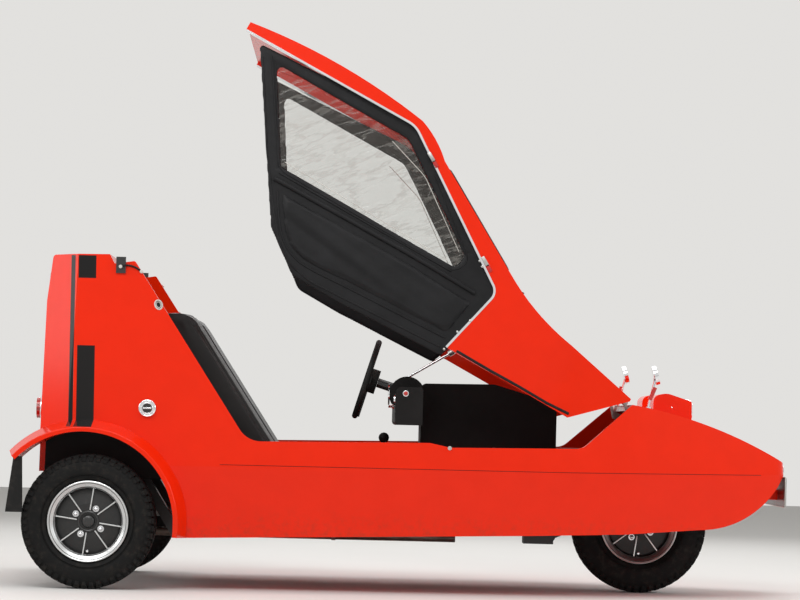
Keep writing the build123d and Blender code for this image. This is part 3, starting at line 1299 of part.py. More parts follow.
def parts():
    """Every node by name."""
    nodes = shell_panels()
    nodes["lower_tub"] = lower_tub(nodes["lower_tub"])
    nodes["front_wheelhouse"] = front_wheelhouse()
    nodes["rear_wheelhouses"] = pair(rear_wheelhouse())
    nodes["boot_floor"] = boot_floor()
    nodes["tail_window"] = tail_window()
    nodes["seat_moulding"] = seat_moulding()
    base, back = seat_pads()
    nodes["seat_cushions"] = pair(base)
    nodes["seat_backs"] = pair(back)
    nodes["engine_cover"] = engine_cover()
    nodes["dashboard"] = dashboard()
    nodes["steering_column"] = steering_column()
    nodes["steering_wheel"] = steering_wheel()
    nodes["pedals"] = pedals()
    nodes["hand_levers"] = hand_levers()
    nodes["chassis_frame"] = chassis_frame()
    nodes["engine"] = engine()
    nodes["driveline"] = driveline()
    nodes["rear_axle"] = rear_axle()
    nodes["front_arm"] = front_arm()
    nodes["dampers"] = [front_damper()] + pair(rear_spring())
    nodes["front_knuckle"] = front_knuckle()
    nodes["front_rim"], nodes["front_tyre"] = front_wheel()
    rim, tyre = rear_wheel()
    nodes["rear_rim_left"], nodes["rear_tyre_left"] = rim, tyre
    nodes["rear_rim_right"], nodes["rear_tyre_right"] = mirrored(rim), mirrored(tyre)
    nodes["exhaust"] = exhaust()
    nodes["mudflaps"] = pair(mudflap())
    nodes["headlamp_pods"] = pair(headlamp_pod())
    nodes["headlamps"] = pair(headlamp())
    nodes["door_mirrors"] = [door_mirror(MIRROR_NEAR, -1), door_mirror(MIRROR_FAR, 1)]
    nodes["front_lamps"] = pair(front_lamps())
    nodes["rear_lamps"] = [lamp for one in rear_lamps() for lamp in pair(one)]
    nodes["front_plate"] = front_plate()
    nodes["plate_brackets"] = pair(plate_bracket())
    nodes["filler_cap"] = filler_cap()
    nodes["fin_latches"] = pair(fin_latch())
    nodes["hinge_brackets"] = pair(hinge_bracket()) + pair(boot_hinge())
    lid_hinges = pair(boot_lid_hinge() - nodes["boot_lid"])
    nodes["boot_lid"] = nodes["boot_lid"] + [hinge - outer_block() for hinge in lid_hinges]
    nodes["rear_plate"] = rear_plate()
    shell = canopy_shell() + pair(hinge_leaf()) + stay_bracket()
    nodes["canopy_shell"] = opened(shell)
    nodes["windscreen"] = opened(windscreen())
    for name, piece in (("side_screens", side_screen()), ("side_windows", side_window()),
                        ("canopy_trim", canopy_trim())):
        nodes[name] = [opened(one) for one in pair(piece)]
    nodes["wiper"] = opened(wiper())
    nodes["interior_mirror"] = opened(interior_mirror())
    nodes["stay_tube"], nodes["stay_rod"] = stay_pieces()
    return nodes


if __name__ == "__main__":
    for name, piece in parts().items():
        if isinstance(piece, list):
            piece = Compound(children=[Part() + one for one in piece])
        export_step(piece, f"parts/{name}.step")
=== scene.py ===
"""Looks of a small wedge shaped three wheeled car with a lift-up canopy.

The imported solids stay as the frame. This script dresses them with procedural finishes and adds the
pieces that the solids leave out: tyre tread, wheel ribs, beads, rivets, padding, lamps and seals.
Metres. +X is forward, +Y is the car's left, +Z is up.
"""

import logging
import math
from collections.abc import Callable, Iterable, Sequence
from dataclasses import dataclass, replace
from enum import Enum

import bmesh
import bpy
from mathutils import Matrix, Vector
from mathutils.bvhtree import BVHTree


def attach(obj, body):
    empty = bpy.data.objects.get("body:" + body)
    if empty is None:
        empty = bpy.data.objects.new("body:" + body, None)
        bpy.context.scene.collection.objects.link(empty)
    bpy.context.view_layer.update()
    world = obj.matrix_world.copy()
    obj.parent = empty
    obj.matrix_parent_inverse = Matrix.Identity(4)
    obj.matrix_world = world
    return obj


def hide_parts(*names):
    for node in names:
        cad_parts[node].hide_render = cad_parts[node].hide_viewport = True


LOG = logging.getLogger("three_wheeler")
Point = tuple[float, float, float]
Colour = tuple[float, float, float]
Row = tuple[float, float]              # x and z on a flank, or y and z on an end
Material = bpy.types.Material
Looks = dict[str, Material]

AHEAD = Vector((1.0, 0.0, 0.0))
ACROSS = Vector((0.0, 1.0, 0.0))
UP = Vector((0.0, 0.0, 1.0))
BESIDE = 2.0                           # where rays onto the flanks start
BEYOND = 3.0                           # where rays onto the nose and tail start
ROUND = 2 * math.pi

HINGE = Vector((0.800, 0.0, 0.700))        # canopy hinge line
CANOPY_OPEN = math.radians(28.5)
OPENED = (Matrix.Translation(HINGE) @ Matrix.Rotation(CANOPY_OPEN, 4, "Y")
          @ Matrix.Translation(-HINGE))
FRONT_HUB = Vector((0.885, 0.0, 0.249))
REAR_HUB = Vector((-1.103, 0.610, 0.236))
SCREEN_TOP = Vector((-0.201, 0.0, 1.116))  # windscreen, with the canopy shut
SCREEN_FOOT = Vector((0.215, 0.0, 0.876))
SCREEN_DOWN = (SCREEN_FOOT - SCREEN_TOP).normalized()
SCREEN_OUT = Vector((-SCREEN_DOWN.z, 0.0, SCREEN_DOWN.x))
STAY_HEAD = OPENED @ Vector((0.300, 0.330, 0.786))
STAY_FOOT = Vector((-0.020, 0.330, 0.760))


class Side(Enum):
    """The two sides of the car; the value is the sign of Y."""

    LEFT = 1
    RIGHT = -1


# ---- shader expressions

class Wire:
    """A shader value that takes part in Python expressions and adds the Math nodes they need."""

    def __init__(self, graph: "Graph", socket: bpy.types.NodeSocket) -> None:
        """Args: graph: the material's graph. socket: the output that carries the value."""
        self.graph = graph
        self.socket = socket

    def _math(self, operation: str, *values: "Wire | float") -> "Wire":
        """Adds a Math node. Args: operation: its name. values: its inputs. Returns: its value."""
        return self.graph.value("ShaderNodeMath", dict(enumerate(values)),
                                {"operation": operation})

    def __add__(self, other: "Wire | float") -> "Wire":
        """Sum."""
        return self._math("ADD", self, other)

    __radd__ = __add__

    def __sub__(self, other: "Wire | float") -> "Wire":
        """Difference."""
        return self._math("SUBTRACT", self, other)

    def __rsub__(self, other: float) -> "Wire":
        """Difference from a number."""
        return self._math("SUBTRACT", other, self)

    def __mul__(self, other: "Wire | float") -> "Wire":
        """Product."""
        return self._math("MULTIPLY", self, other)

    __rmul__ = __mul__

    def __pow__(self, other: float) -> "Wire":
        """Power."""
        return self._math("POWER", self, other)

    def __abs__(self) -> "Wire":
        """Size without sign."""
        return self._math("ABSOLUTE", self)

    def sine(self) -> "Wire":
        """Sine of an angle in radians."""
        return self._math("SINE", self)

    def at_most(self, other: "Wire | float") -> "Wire":
        """The smaller of the two."""
        return self._math("MINIMUM", self, other)

    def at_least(self, other: "Wire | float") -> "Wire":
        """The larger of the two."""
        return self._math("MAXIMUM", self, other)

    def step(self, start: float, end: float) -> "Wire":
        """Smooth step from 0 at start to 1 at end.

        Args:
            start: where it is 0.
            end: where it is 1.

        Returns:
            The value.
        """
        return self.graph.value("ShaderNodeMapRange",
                                {"Value": self, "From Min": start, "From Max": end},
                                {"interpolation_type": "SMOOTHSTEP"})

    def between(self, low: float, high: float, soft: float = 0.0006) -> "Wire":
        """1 between two values with soft edges."""
        return self.step(low - soft, low + soft) * (1 - self.step(high - soft, high + soft))


class Graph:
    """The node graph of one material, or of the world."""

    def __init__(self, name: str, world: bool = False) -> None:
        """Starts an empty graph.

        Args:
            name: the material's name.
            world: it is the world's graph instead.
        """
        self.owner = (bpy.data.worlds if world else bpy.data.materials).new(name)
        self.owner.use_nodes = True
        self.tree = self.owner.node_tree
        self.tree.nodes.clear()
        self.output = self.node(f"ShaderNodeOutput{'World' if world else 'Material'}")
        self._place: Wire | None = None

    def node(self, kind: str, settings: dict | None = None,
             inputs: dict | None = None) -> bpy.types.Node:
        """Adds a node.

        Args:
            kind: the node's type.
            settings: its own properties, which are set first.
            inputs: values or links by the name or number of its sockets.

        Returns:
            The node.
        """
        made = self.tree.nodes.new(kind)
        for key, value in (settings or {}).items():
            setattr(made, key, value)
        for key, value in (inputs or {}).items():
            socket = made.inputs[key]
            if isinstance(value, Wire):
                self.tree.links.new(value.socket, socket)
            else:
                socket.default_value = (*value, 1.0) if socket.type == "RGBA" else value
        return made

    def value(self, kind: str, inputs: dict, settings: dict | None = None,
              output: int | str = 0) -> Wire:
        """Adds a node and takes one of its outputs.

        Args:
            kind, inputs, settings: as for node().
            output: the name or number of the output.

        Returns:
            The output.
        """
        return Wire(self, self.node(kind, settings, inputs).outputs[output])

    def place(self) -> Wire:
        """Object coordinates, in metres.

        Returns:
            The coordinates.
        """
        if self._place is None:
            self._place = self.value("ShaderNodeTexCoord", {}, output="Object")
        return self._place

    def axes(self) -> tuple[Wire, Wire, Wire]:
        """Object coordinates one by one. Returns: x, y and z."""
        made = self.node("ShaderNodeSeparateXYZ", None, {0: self.place()})
        return tuple(Wire(self, out) for out in made.outputs)

    def drawn(self, stretch: Point, turn: float = 0.0) -> Wire:
        """Object coordinates drawn out.

        Args:
            stretch: factors along X, Y and Z.
            turn: angle round Y, first.

        Returns:
            The coordinates.
        """
        return self.value("ShaderNodeMapping",
                          {"Vector": self.place(), "Scale": stretch,
                           "Rotation": (0.0, turn, 0.0)}, {"vector_type": "TEXTURE"})

    def noise(self, scale: float, detail: float = 3.0, rough: float = 0.5,
              where: Wire | None = None) -> Wire:
        """Fractal noise.

        Args:
            scale: per metre.
            detail: how many octaves.
            rough: weight of the fine octaves.
            where: coordinates, if not the object's own.

        Returns:
            The noise, from 0 to 1.
        """
        return self.value("ShaderNodeTexNoise",
                          {"Vector": where or self.place(), "Scale": scale, "Detail": detail,
                           "Roughness": rough})

    def cells(self, scale: float) -> Wire:
        """Soft Voronoi cells. Args: scale: per metre. Returns: distance from their middles."""
        return self.value("ShaderNodeTexVoronoi", {"Vector": self.place(), "Scale": scale},
                          {"feature": "SMOOTH_F1"}, "Distance")

    def mix(self, factor: "Wire | float", first: "Wire | Colour",
            second: "Wire | Colour") -> Wire:
        """Blends two colours. Args: factor: share of the second. Returns: the colour."""
        return self.value("ShaderNodeMix", {0: factor, 6: first, 7: second},
                          {"data_type": "RGBA", "clamp_factor": True}, 2)

    def bump(self, height: Wire, depth: float) -> Wire:
        """Turns a height into a normal. Args: height: 0 to 1. depth: metres."""
        return self.value("ShaderNodeBump", {"Height": height, "Distance": depth})

    def surface(self, inputs: dict) -> Wire:
        """A Principled shader. Args: inputs: its sockets. Returns: its shader."""
        return self.value("ShaderNodeBsdfPrincipled", inputs)

    def blend(self, factor: Wire, first: Wire, second: Wire) -> Wire:
        """Mixes two shaders. Args: factor: share of the second. Returns: the shader."""
        return self.value("ShaderNodeMixShader", {0: factor, 1: first, 2: second})

    def close(self, shader: Wire) -> bpy.types.ID:
        """Ends the graph. Args: shader: what shows. Returns: the material or world."""
        self.tree.links.new(shader.socket, self.output.inputs["Surface"])
        return self.owner


# ---- finishes

@dataclass(frozen=True)
class Finish:
    """A plain solid finish with grain and mottling.

    Fields: name; colour; rough, and how far it wanders; metal; coat; grain per metre and its
    depth in metres; shade, the share by which the colour wanders; shine, its specular level.
    """

    name: str
    colour: Colour
    rough: float = 0.5
    wander: float = 0.08
    metal: float = 0.0
    coat: float = 0.0
    grain: float = 900.0
    depth: float = 0.0001
    shade: float = 0.15
    shine: float = 0.5

    def tint(self, graph: Graph) -> Wire:
        """The colour with its mottling.

        Args:
            graph: where it is built.

        Returns:
            The colour.
        """
        dark = tuple(channel * (1 - self.shade) for channel in self.colour)
        light = tuple(min(1.0, channel * (1 + self.shade)) for channel in self.colour)
        patches = graph.noise(9.0, 4.0, 0.6)
        return graph.mix(patches.step(0.3, 0.7), dark, light)

    def height(self, graph: Graph) -> Wire:
        """The grain as a height. Args: graph: where it is built. Returns: the height."""
        return graph.noise(self.grain, 2.0, 0.6)

    def roughness(self, graph: Graph) -> Wire:
        """Roughness with smears. Args: graph: where it is built. Returns: the roughness."""
        smears = graph.noise(23.0, 5.0, 0.65)
        return smears * (2 * self.wander) + (self.rough - self.wander)

    def build(self) -> Material:
        """Makes the material.

        Returns:
            The material.
        """
        graph = Graph(self.name)
        return graph.close(graph.surface({
            "Base Color": self.tint(graph), "Roughness": self.roughness(graph),
            "Metallic": self.metal, "Coat Weight": self.coat, "Coat Roughness": 0.06,
            "Specular IOR Level": self.shine,
            "Normal": graph.bump(self.height(graph), self.depth)}))


@dataclass(frozen=True)
class GelCoat(Finish):
    """Glossy orange-red gel coat with a faint peel, and dust along its lower edges."""

    stripes: bool = False

    def tint(self, graph: Graph) -> Wire:
        """Colour with dust low down, and the two black stripes where they are asked for.

        Args:
            graph: where it is built.

        Returns:
            The colour.
        """
        x, y, z = graph.axes()
        base = super().tint(graph)
        dusty = (1 - z.step(0.17, 0.32)) * graph.noise(40.0, 5.0, 0.7).step(0.42, 0.75)
        base = graph.mix(dusty * 0.35, base, (0.16, 0.07, 0.035))
        if not self.stripes:
            return base
        along = x + (z - 0.570) * 0.0183
        outside = abs(y).step(0.48, 0.49)
        thin = along.between(-1.1885, -1.1725)
        broad = along.between(-1.1610, -1.0985)
        broad = broad * (1 - z.between(0.854, 1.093, 0.001))
        high = z.step(0.5655, 0.5665) * (1 - z.step(1.1735, 1.1745))
        return graph.mix((thin + broad) * outside * high, base, (0.012, 0.011, 0.011))

    def roughness(self, graph: Graph) -> Wire:
        """Gloss with fine swirls."""
        return graph.noise(60.0, 6.0, 0.7) * 0.10 + (self.rough - 0.05)

    def height(self, graph: Graph) -> Wire:
        """Orange peel with a long soft wave under it."""
        return graph.noise(self.grain, 1.0, 0.4) * 0.5 + graph.noise(14.0, 1.0, 0.3) * 0.8


@dataclass(frozen=True)
class Vinyl(Finish):
    """Leather-grained vinyl cloth: cells with creases between them."""

    def height(self, graph: Graph) -> Wire:
        """Cells, with fine pits and broad folds."""
        pits, folds = graph.noise(self.grain * 2.5, 2.0), graph.noise(11.0, 2.0, 0.5)
        return graph.cells(self.grain) * 0.7 + pits * 0.3 + folds * 4.0


@dataclass(frozen=True)
class Rubber(Finish):
    """Tyre and moulded rubber with a patchy brown bloom of dust."""

    def tint(self, graph: Graph) -> Wire:
        """Black with a brown bloom.

        Args:
            graph: where it is built.

        Returns:
            The colour.
        """
        base = super().tint(graph)
        bloom = graph.noise(34.0, 6.0, 0.72).step(0.45, 0.8)
        return graph.mix(bloom * 0.35, base, (0.075, 0.062, 0.05))


@dataclass(frozen=True)
class Metal(Finish):
    """Bare or plated metal with fine brushing and a little tarnish."""

    def height(self, graph: Graph) -> Wire:
        """Fine streaks."""
        return graph.noise(self.grain, 2.0, 0.5, graph.drawn((1.0, 0.17, 1.0)))


@dataclass(frozen=True)
class Glass:
    """A thin clear pane: see-through, with reflections that grow at grazing angles.

    Fields: name; colour of its reflections; haze, its least opacity; rough; crease per metre and
    crease depth in metres, for a soft sheet.
    """

    name: str
    colour: Colour
    haze: float = 0.06
    rough: float = 0.03
    crease: float = 0.0
    depth: float = 0.0

    def build(self) -> Material:
        """Makes the material.

        Returns:
            The material.
        """
        graph = Graph(self.name)
        slant = graph.value("ShaderNodeLayerWeight", {"Blend": 0.5}, output="Facing")
        smear = graph.noise(17.0, 5.0, 0.7)
        opacity = slant ** 4.0 * 0.6 + smear * self.haze + 0.03
        inputs = {"Base Color": self.colour, "Roughness": smear * 0.05 + self.rough,
                  "Metallic": 0.0, "Specular IOR Level": 0.9}
        if self.crease:
            drawn = graph.drawn((4.5, 2.0, 1.0), math.radians(-22.0))
            fold = abs(graph.noise(self.crease, 3.0, 0.55, drawn) - 0.5)
            inputs["Normal"] = graph.bump(fold, self.depth)
            opacity = opacity + (1 - fold.step(0.0, 0.05)) * 0.10
        clear = graph.value("ShaderNodeBsdfTransparent", {"Color": (0.97, 0.975, 0.97)})
        return graph.close(graph.blend(opacity.at_most(1.0), clear, graph.surface(inputs)))


@dataclass(frozen=True)
class Lens:
    """A moulded lamp lens with ribs under a clear surface."""

    name: str
    colour: Colour
    ribs: float = 420.0

    def build(self) -> Material:
        """Makes the material.

        Returns:
            The material.
        """
        graph = Graph(self.name)
        _, y, z = graph.axes()
        ridges = (y * self.ribs).sine() * 0.5 + (z * self.ribs).sine() * 0.5
        deep = tuple(channel * 0.45 for channel in self.colour)
        return graph.close(graph.surface({
            "Base Color": graph.mix(ridges.step(-0.9, 0.9), deep, self.colour),
            "Roughness": graph.noise(70.0, 3.0) * 0.08 + 0.10, "Coat Weight": 1.0,
            "Coat Roughness": 0.03, "Normal": graph.bump(ridges, 0.0012)}))


# ---- meshes

def linked(name: str, data: bpy.types.ID) -> bpy.types.Object:
    """Makes an object in the scene.

    Args:
        name: its name.
        data: its mesh, camera or lamp.

    Returns:
        The object.
    """
    made = bpy.data.objects.new(name, data)
    bpy.context.scene.collection.objects.link(made)
    return made


def points_of(geom: Iterable) -> list:
    """The vertices among an operator's results. Args: geom: the results. Returns: them."""
    return [item for item in geom if isinstance(item, bmesh.types.BMVert)]


class Solid:
    """A mesh under construction, in the car's frame."""

    def __init__(self) -> None:
        """Starts empty."""
        self.bm = bmesh.new()

    def _new(self, before: set) -> list:
        """Vertices made since a set was taken. Args: before: that set. Returns: the rest."""
        return [vert for vert in self.bm.verts if vert not in before]

    def _edges(self, before: set) -> list:
        """Edges made since a set was taken. Args: before: that set. Returns: the rest."""
        edges = (edge for vert in self._new(before) for edge in vert.link_edges)
        return list(dict.fromkeys(edges))

    def _bevel(self, edges: Iterable, width: float, segments: int = 2) -> None:
        """Bevels edges. Args: edges: which. width: the bevel's. segments: steps across it."""
        bmesh.ops.bevel(self.bm, geom=list(edges), offset=width, affect="EDGES",
                        segments=segments, profile=0.5, material=-1)

    def box(self, low: Point, high: Point, edge: float = 0.0, segments: int = 2) -> list:
        """A box between two corners.

        Args:
            low: its lowest corner.
            high: its highest corner.
            edge: width of its bevel, if it has one.
            segments: steps across the bevel.

        Returns:
            Its vertices.
        """
        size = Vector(high) - Vector(low)
        middle = (Vector(high) + Vector(low)) / 2
        before = set(self.bm.verts)
        place = Matrix.Translation(middle) @ Matrix.Diagonal((*size, 1.0))
        bmesh.ops.create_cube(self.bm, size=1.0, matrix=place)
        if edge:
            self._bevel(self._edges(before), edge, segments)
        return self._new(before)

    def tube(self, start: Vector, end: Vector, radius: float, far: float | None = None,
             segments: int = 20, edge: float = 0.0) -> list:
        """A round bar.

        Args:
            start: one end of its axis.
            end: the other end.
            radius: its radius.
            far: its radius at the other end, where that differs.
            segments: facets round it.
            edge: width of the bevel round its ends, if it has one.

        Returns:
            Its vertices.
        """
        way = Vector(end) - Vector(start)
        place = Matrix.Translation((Vector(start) + Vector(end)) / 2) \
            @ way.to_track_quat("Z", "Y").to_matrix().to_4x4()
        before = set(self.bm.verts)
        bmesh.ops.create_cone(self.bm, cap_ends=True, segments=segments, radius1=radius,
                              radius2=radius if far is None else far, depth=way.length,
                              matrix=place)
        if edge:
            rims = [e for e in self._edges(before)
                    if len(e.link_faces) == 2 and any(len(f.verts) > 4 for f in e.link_faces)]
            self._bevel(rims, edge)
        return self._new(before)

    def ball(self, centre: Vector, radius: float, squash: Point = (1.0, 1.0, 1.0),
             segments: int = 20) -> list:
        """A ball or a flattened one.

        Args:
            centre: its middle.
            radius: its radius.
            squash: factors along X, Y and Z.
            segments: facets round it.

        Returns:
            Its vertices.
        """
        before = set(self.bm.verts)
        place = Matrix.Translation(centre) @ Matrix.Diagonal((*squash, 1.0))
        bmesh.ops.create_uvsphere(self.bm, u_segments=segments, v_segments=segments // 2,
                                  radius=radius, matrix=place)
        return self._new(before)

    def lathe(self, profile: Sequence[Row], centre: Vector, axis: Vector, steps: int) -> list:
        """Turns a closed profile round an axis.

        Args:
            profile: (radius, distance along the axis) rows.
            centre, axis: the axis.
            steps: facets round it.

        Returns:
            The vertices.
        """
        before = set(self.bm.verts)
        turn = Vector(axis).to_track_quat("Z", "Y").to_matrix()
        ring = [self.bm.verts.new(Vector(centre) + turn @ Vector((radius, 0.0, along)))
                for radius, along in profile]
        edges = [self.bm.edges.new(pair) for pair in zip(ring, ring[1:] + ring[:1])]
        bmesh.ops.spin(self.bm, geom=ring + edges, cent=centre, axis=axis, dvec=(0, 0, 0),
                       angle=ROUND, steps=steps, use_merge=True, use_duplicate=False)
        made = self._new(before)
        bmesh.ops.remove_doubles(self.bm, verts=made, dist=1e-6)
        return self._new(before)

    def coil(self, foot: Vector, top: Vector, radius: float, wire: float, turns: float) -> list:
        """A coil spring.

        Args:
            foot: lower end of its axis.
            top: upper end.
            radius: radius to the middle of the wire.
            wire: the wire's radius.
            turns: how often it winds round.

        Returns:
            Its vertices.
        """
        before = set(self.bm.verts)
        way = Vector(top) - Vector(foot)
        turn = way.to_track_quat("Z", "Y").to_matrix()
        start = Vector(foot) + turn @ Vector((radius, 0.0, 0.0))
        place = Matrix.Translation(start) @ (turn @ Matrix.Rotation(math.pi / 2, 3, "X")).to_4x4()
        bmesh.ops.create_circle(self.bm, segments=8, radius=wire, cap_ends=False, matrix=place)
        steps = int(turns * 20)
        bmesh.ops.spin(self.bm, geom=self._new(before) + self._edges(before), cent=foot,
                       axis=way.normalized(), dvec=way / steps, angle=ROUND * turns, steps=steps,
                       use_merge=False, use_duplicate=False)
        ends = [e for e in self.bm.edges if e.is_boundary]
        bmesh.ops.holes_fill(self.bm, edges=ends, sides=8)
        return self._new(before)

    def bead(self, points: Iterable[Vector], radius: float, cyclic: bool = False,
             smooth: bool = False) -> None:
        """A round bead along points.

        Args:
            points: the line it follows.
            radius: its radius.
            cyclic: the line closes on itself.
            smooth: round the line's corners.
        """
        data = bpy.data.curves.new("bead", "CURVE")
        data.dimensions = "3D"
        data.bevel_depth = radius
        data.bevel_resolution = 3
        data.use_fill_caps = True
        rows = [Vector(point) for point in points]
        spline = data.splines.new("NURBS" if smooth else "POLY")
        spline.points.add(len(rows) - 1)
        for point, row in zip(spline.points, rows):
            point.co = (*row, 1.0)
        spline.use_cyclic_u = cyclic
        if smooth:
            spline.order_u = 3
            spline.use_endpoint_u = not cyclic
            spline.resolution_u = 4
        holder = bpy.data.objects.new("bead", data)
        mesh = bpy.data.meshes.new_from_object(holder)
        self.bm.from_mesh(mesh)
        bpy.data.objects.remove(holder)
        bpy.data.curves.remove(data)
        bpy.data.meshes.remove(mesh)

    def slab(self, outline: Sequence[Vector], thick: Vector, edge: float = 0.0) -> list:
        """A flat plate.

        Args:
            outline: its corners.
            thick: its thickness.
            edge: width of its bevel, if it has one.

        Returns:
            Its vertices.
        """
        before = set(self.bm.verts)
        face = self.bm.faces.new([self.bm.verts.new(point) for point in outline])
        grown = bmesh.ops.extrude_face_region(self.bm, geom=[face])
        bmesh.ops.translate(self.bm, verts=points_of(grown["geom"]), vec=thick)
        if edge:
            self._bevel(self._edges(before), edge)
        return self._new(before)

    def repeat(self, verts: list, count: int, centre: Vector, axis: Vector) -> None:
        """Copies vertices round an axis.

        Args:
            verts: what is copied.
            count: how many there are in all.
            centre: a point on the axis.
            axis: the axis.
        """
        faces = list(dict.fromkeys(face for vert in verts for face in vert.link_faces))
        edges = list(dict.fromkeys(edge for face in faces for edge in face.edges))
        geom = list(verts) + edges + faces
        for index in range(1, count):
            copied = bmesh.ops.duplicate(self.bm, geom=geom)
            bmesh.ops.rotate(self.bm, verts=points_of(copied["geom"]), cent=centre,
                             matrix=Matrix.Rotation(ROUND * index / count, 3, axis))

    def mirror(self) -> "Solid":
        """Adds the same on the car's other side.

        Returns:
            Itself.
        """
        geom = list(self.bm.verts) + list(self.bm.edges) + list(self.bm.faces)
        copied = bmesh.ops.duplicate(self.bm, geom=geom)
        bmesh.ops.scale(self.bm, vec=(1.0, -1.0, 1.0), verts=points_of(copied["geom"]))
        return self

    def moved(self, matrix: Matrix) -> "Solid":
        """Moves everything made so far. Args: matrix: how. Returns: itself."""
        bmesh.ops.transform(self.bm, matrix=matrix, verts=list(self.bm.verts))
        return self

    def piece(self, name: str, material: Material, body: str, slot: str,
              smooth: float = 40.0) -> bpy.types.Object:
        """Makes the object.

        Args:
            name: the piece's name.
            material: its finish.
            body: the CAD body it rides on.
            slot: not used.
            smooth: edges sharper than this angle stay sharp.

        Returns:
            The object.
        """
        bmesh.ops.remove_doubles(self.bm, verts=list(self.bm.verts), dist=1e-6)
        bmesh.ops.recalc_face_normals(self.bm, faces=list(self.bm.faces))
        mesh = bpy.data.meshes.new(name)
        self.bm.to_mesh(mesh)
        self.bm.free()
        mesh.shade_smooth()
        mesh.set_sharp_from_angle(angle=math.radians(smooth))
        mesh.materials.append(material)
        made = linked(name, mesh)
        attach(made, body)
        LOG.info("piece %s: %d faces on %s", name, len(mesh.polygons), body)
        return made


class Skin:
    """The outer surface of CAD nodes, to lay trim on."""

    def __init__(self, *nodes: str) -> None:
        """Reads their faces.

        Args:
            nodes: the CAD nodes that carry the trim.
        """
        verts: list[Vector] = []
        faces: list[list[int]] = []
        for name in nodes:
            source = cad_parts[name]
            start = len(verts)
            verts += [source.matrix_world @ vert.co for vert in source.data.vertices]
            faces += [[start + index for index in face.vertices] for face in source.data.polygons]
        self.tree = BVHTree.FromPolygons(verts, faces)

    def side(self, x: float, z: float, side: Side = Side.RIGHT, out: float = 0.0) -> Vector:
        """Point on the car's side. Args: x, z: where. out: how far proud. Returns: the point."""
        return self.meet(Vector((x, side.value * BESIDE, z)), -ACROSS * side.value, out)

    def end(self, y: float, z: float, way: Vector, out: float = 0.0) -> Vector:
        """Point on an end. Args: y, z: where. way: forward or back. out: how far proud."""
        return self.meet(Vector((-way.x * BEYOND, y, z)), way, out)

    def meet(self, start: Vector, way: Vector, out: float = 0.0) -> Vector:
        """First point a ray meets.

        Args:
            start: where the ray starts.
            way: its direction.
            out: how far proud of the surface the point stands.

        Returns:
            The point.
        """
        place, normal, _, _ = self.tree.ray_cast(start, way)
        if place is None:
            raise ValueError(f"no surface from {tuple(start)} along {tuple(way)}")
        return place + (normal if normal.dot(way) < 0 else -normal) * out


def between(start: float, end: float, count: int) -> list[float]:
    """Even values from start to end. Args: count: how many. Returns: them."""
    return [start + (end - start) * index / (count - 1) for index in range(count)]


def loop(centre: Vector, first: Vector, second: Vector, count: int) -> list[Vector]:
    """Points round an ellipse.

    Args:
        centre: its middle.
        first, second: its half axes.
        count: how many points.

    Returns:
        The points.
    """
    return [centre + first * math.cos(angle) + second * math.sin(angle)
            for angle in between(0.0, ROUND, count + 1)[:-1]]


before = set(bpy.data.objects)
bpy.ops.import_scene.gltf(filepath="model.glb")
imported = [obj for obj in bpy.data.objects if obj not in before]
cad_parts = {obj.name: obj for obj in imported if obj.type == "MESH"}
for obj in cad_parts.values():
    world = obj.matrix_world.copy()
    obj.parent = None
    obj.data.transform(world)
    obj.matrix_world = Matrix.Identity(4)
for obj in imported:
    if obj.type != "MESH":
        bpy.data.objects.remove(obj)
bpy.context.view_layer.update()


# ---- studio

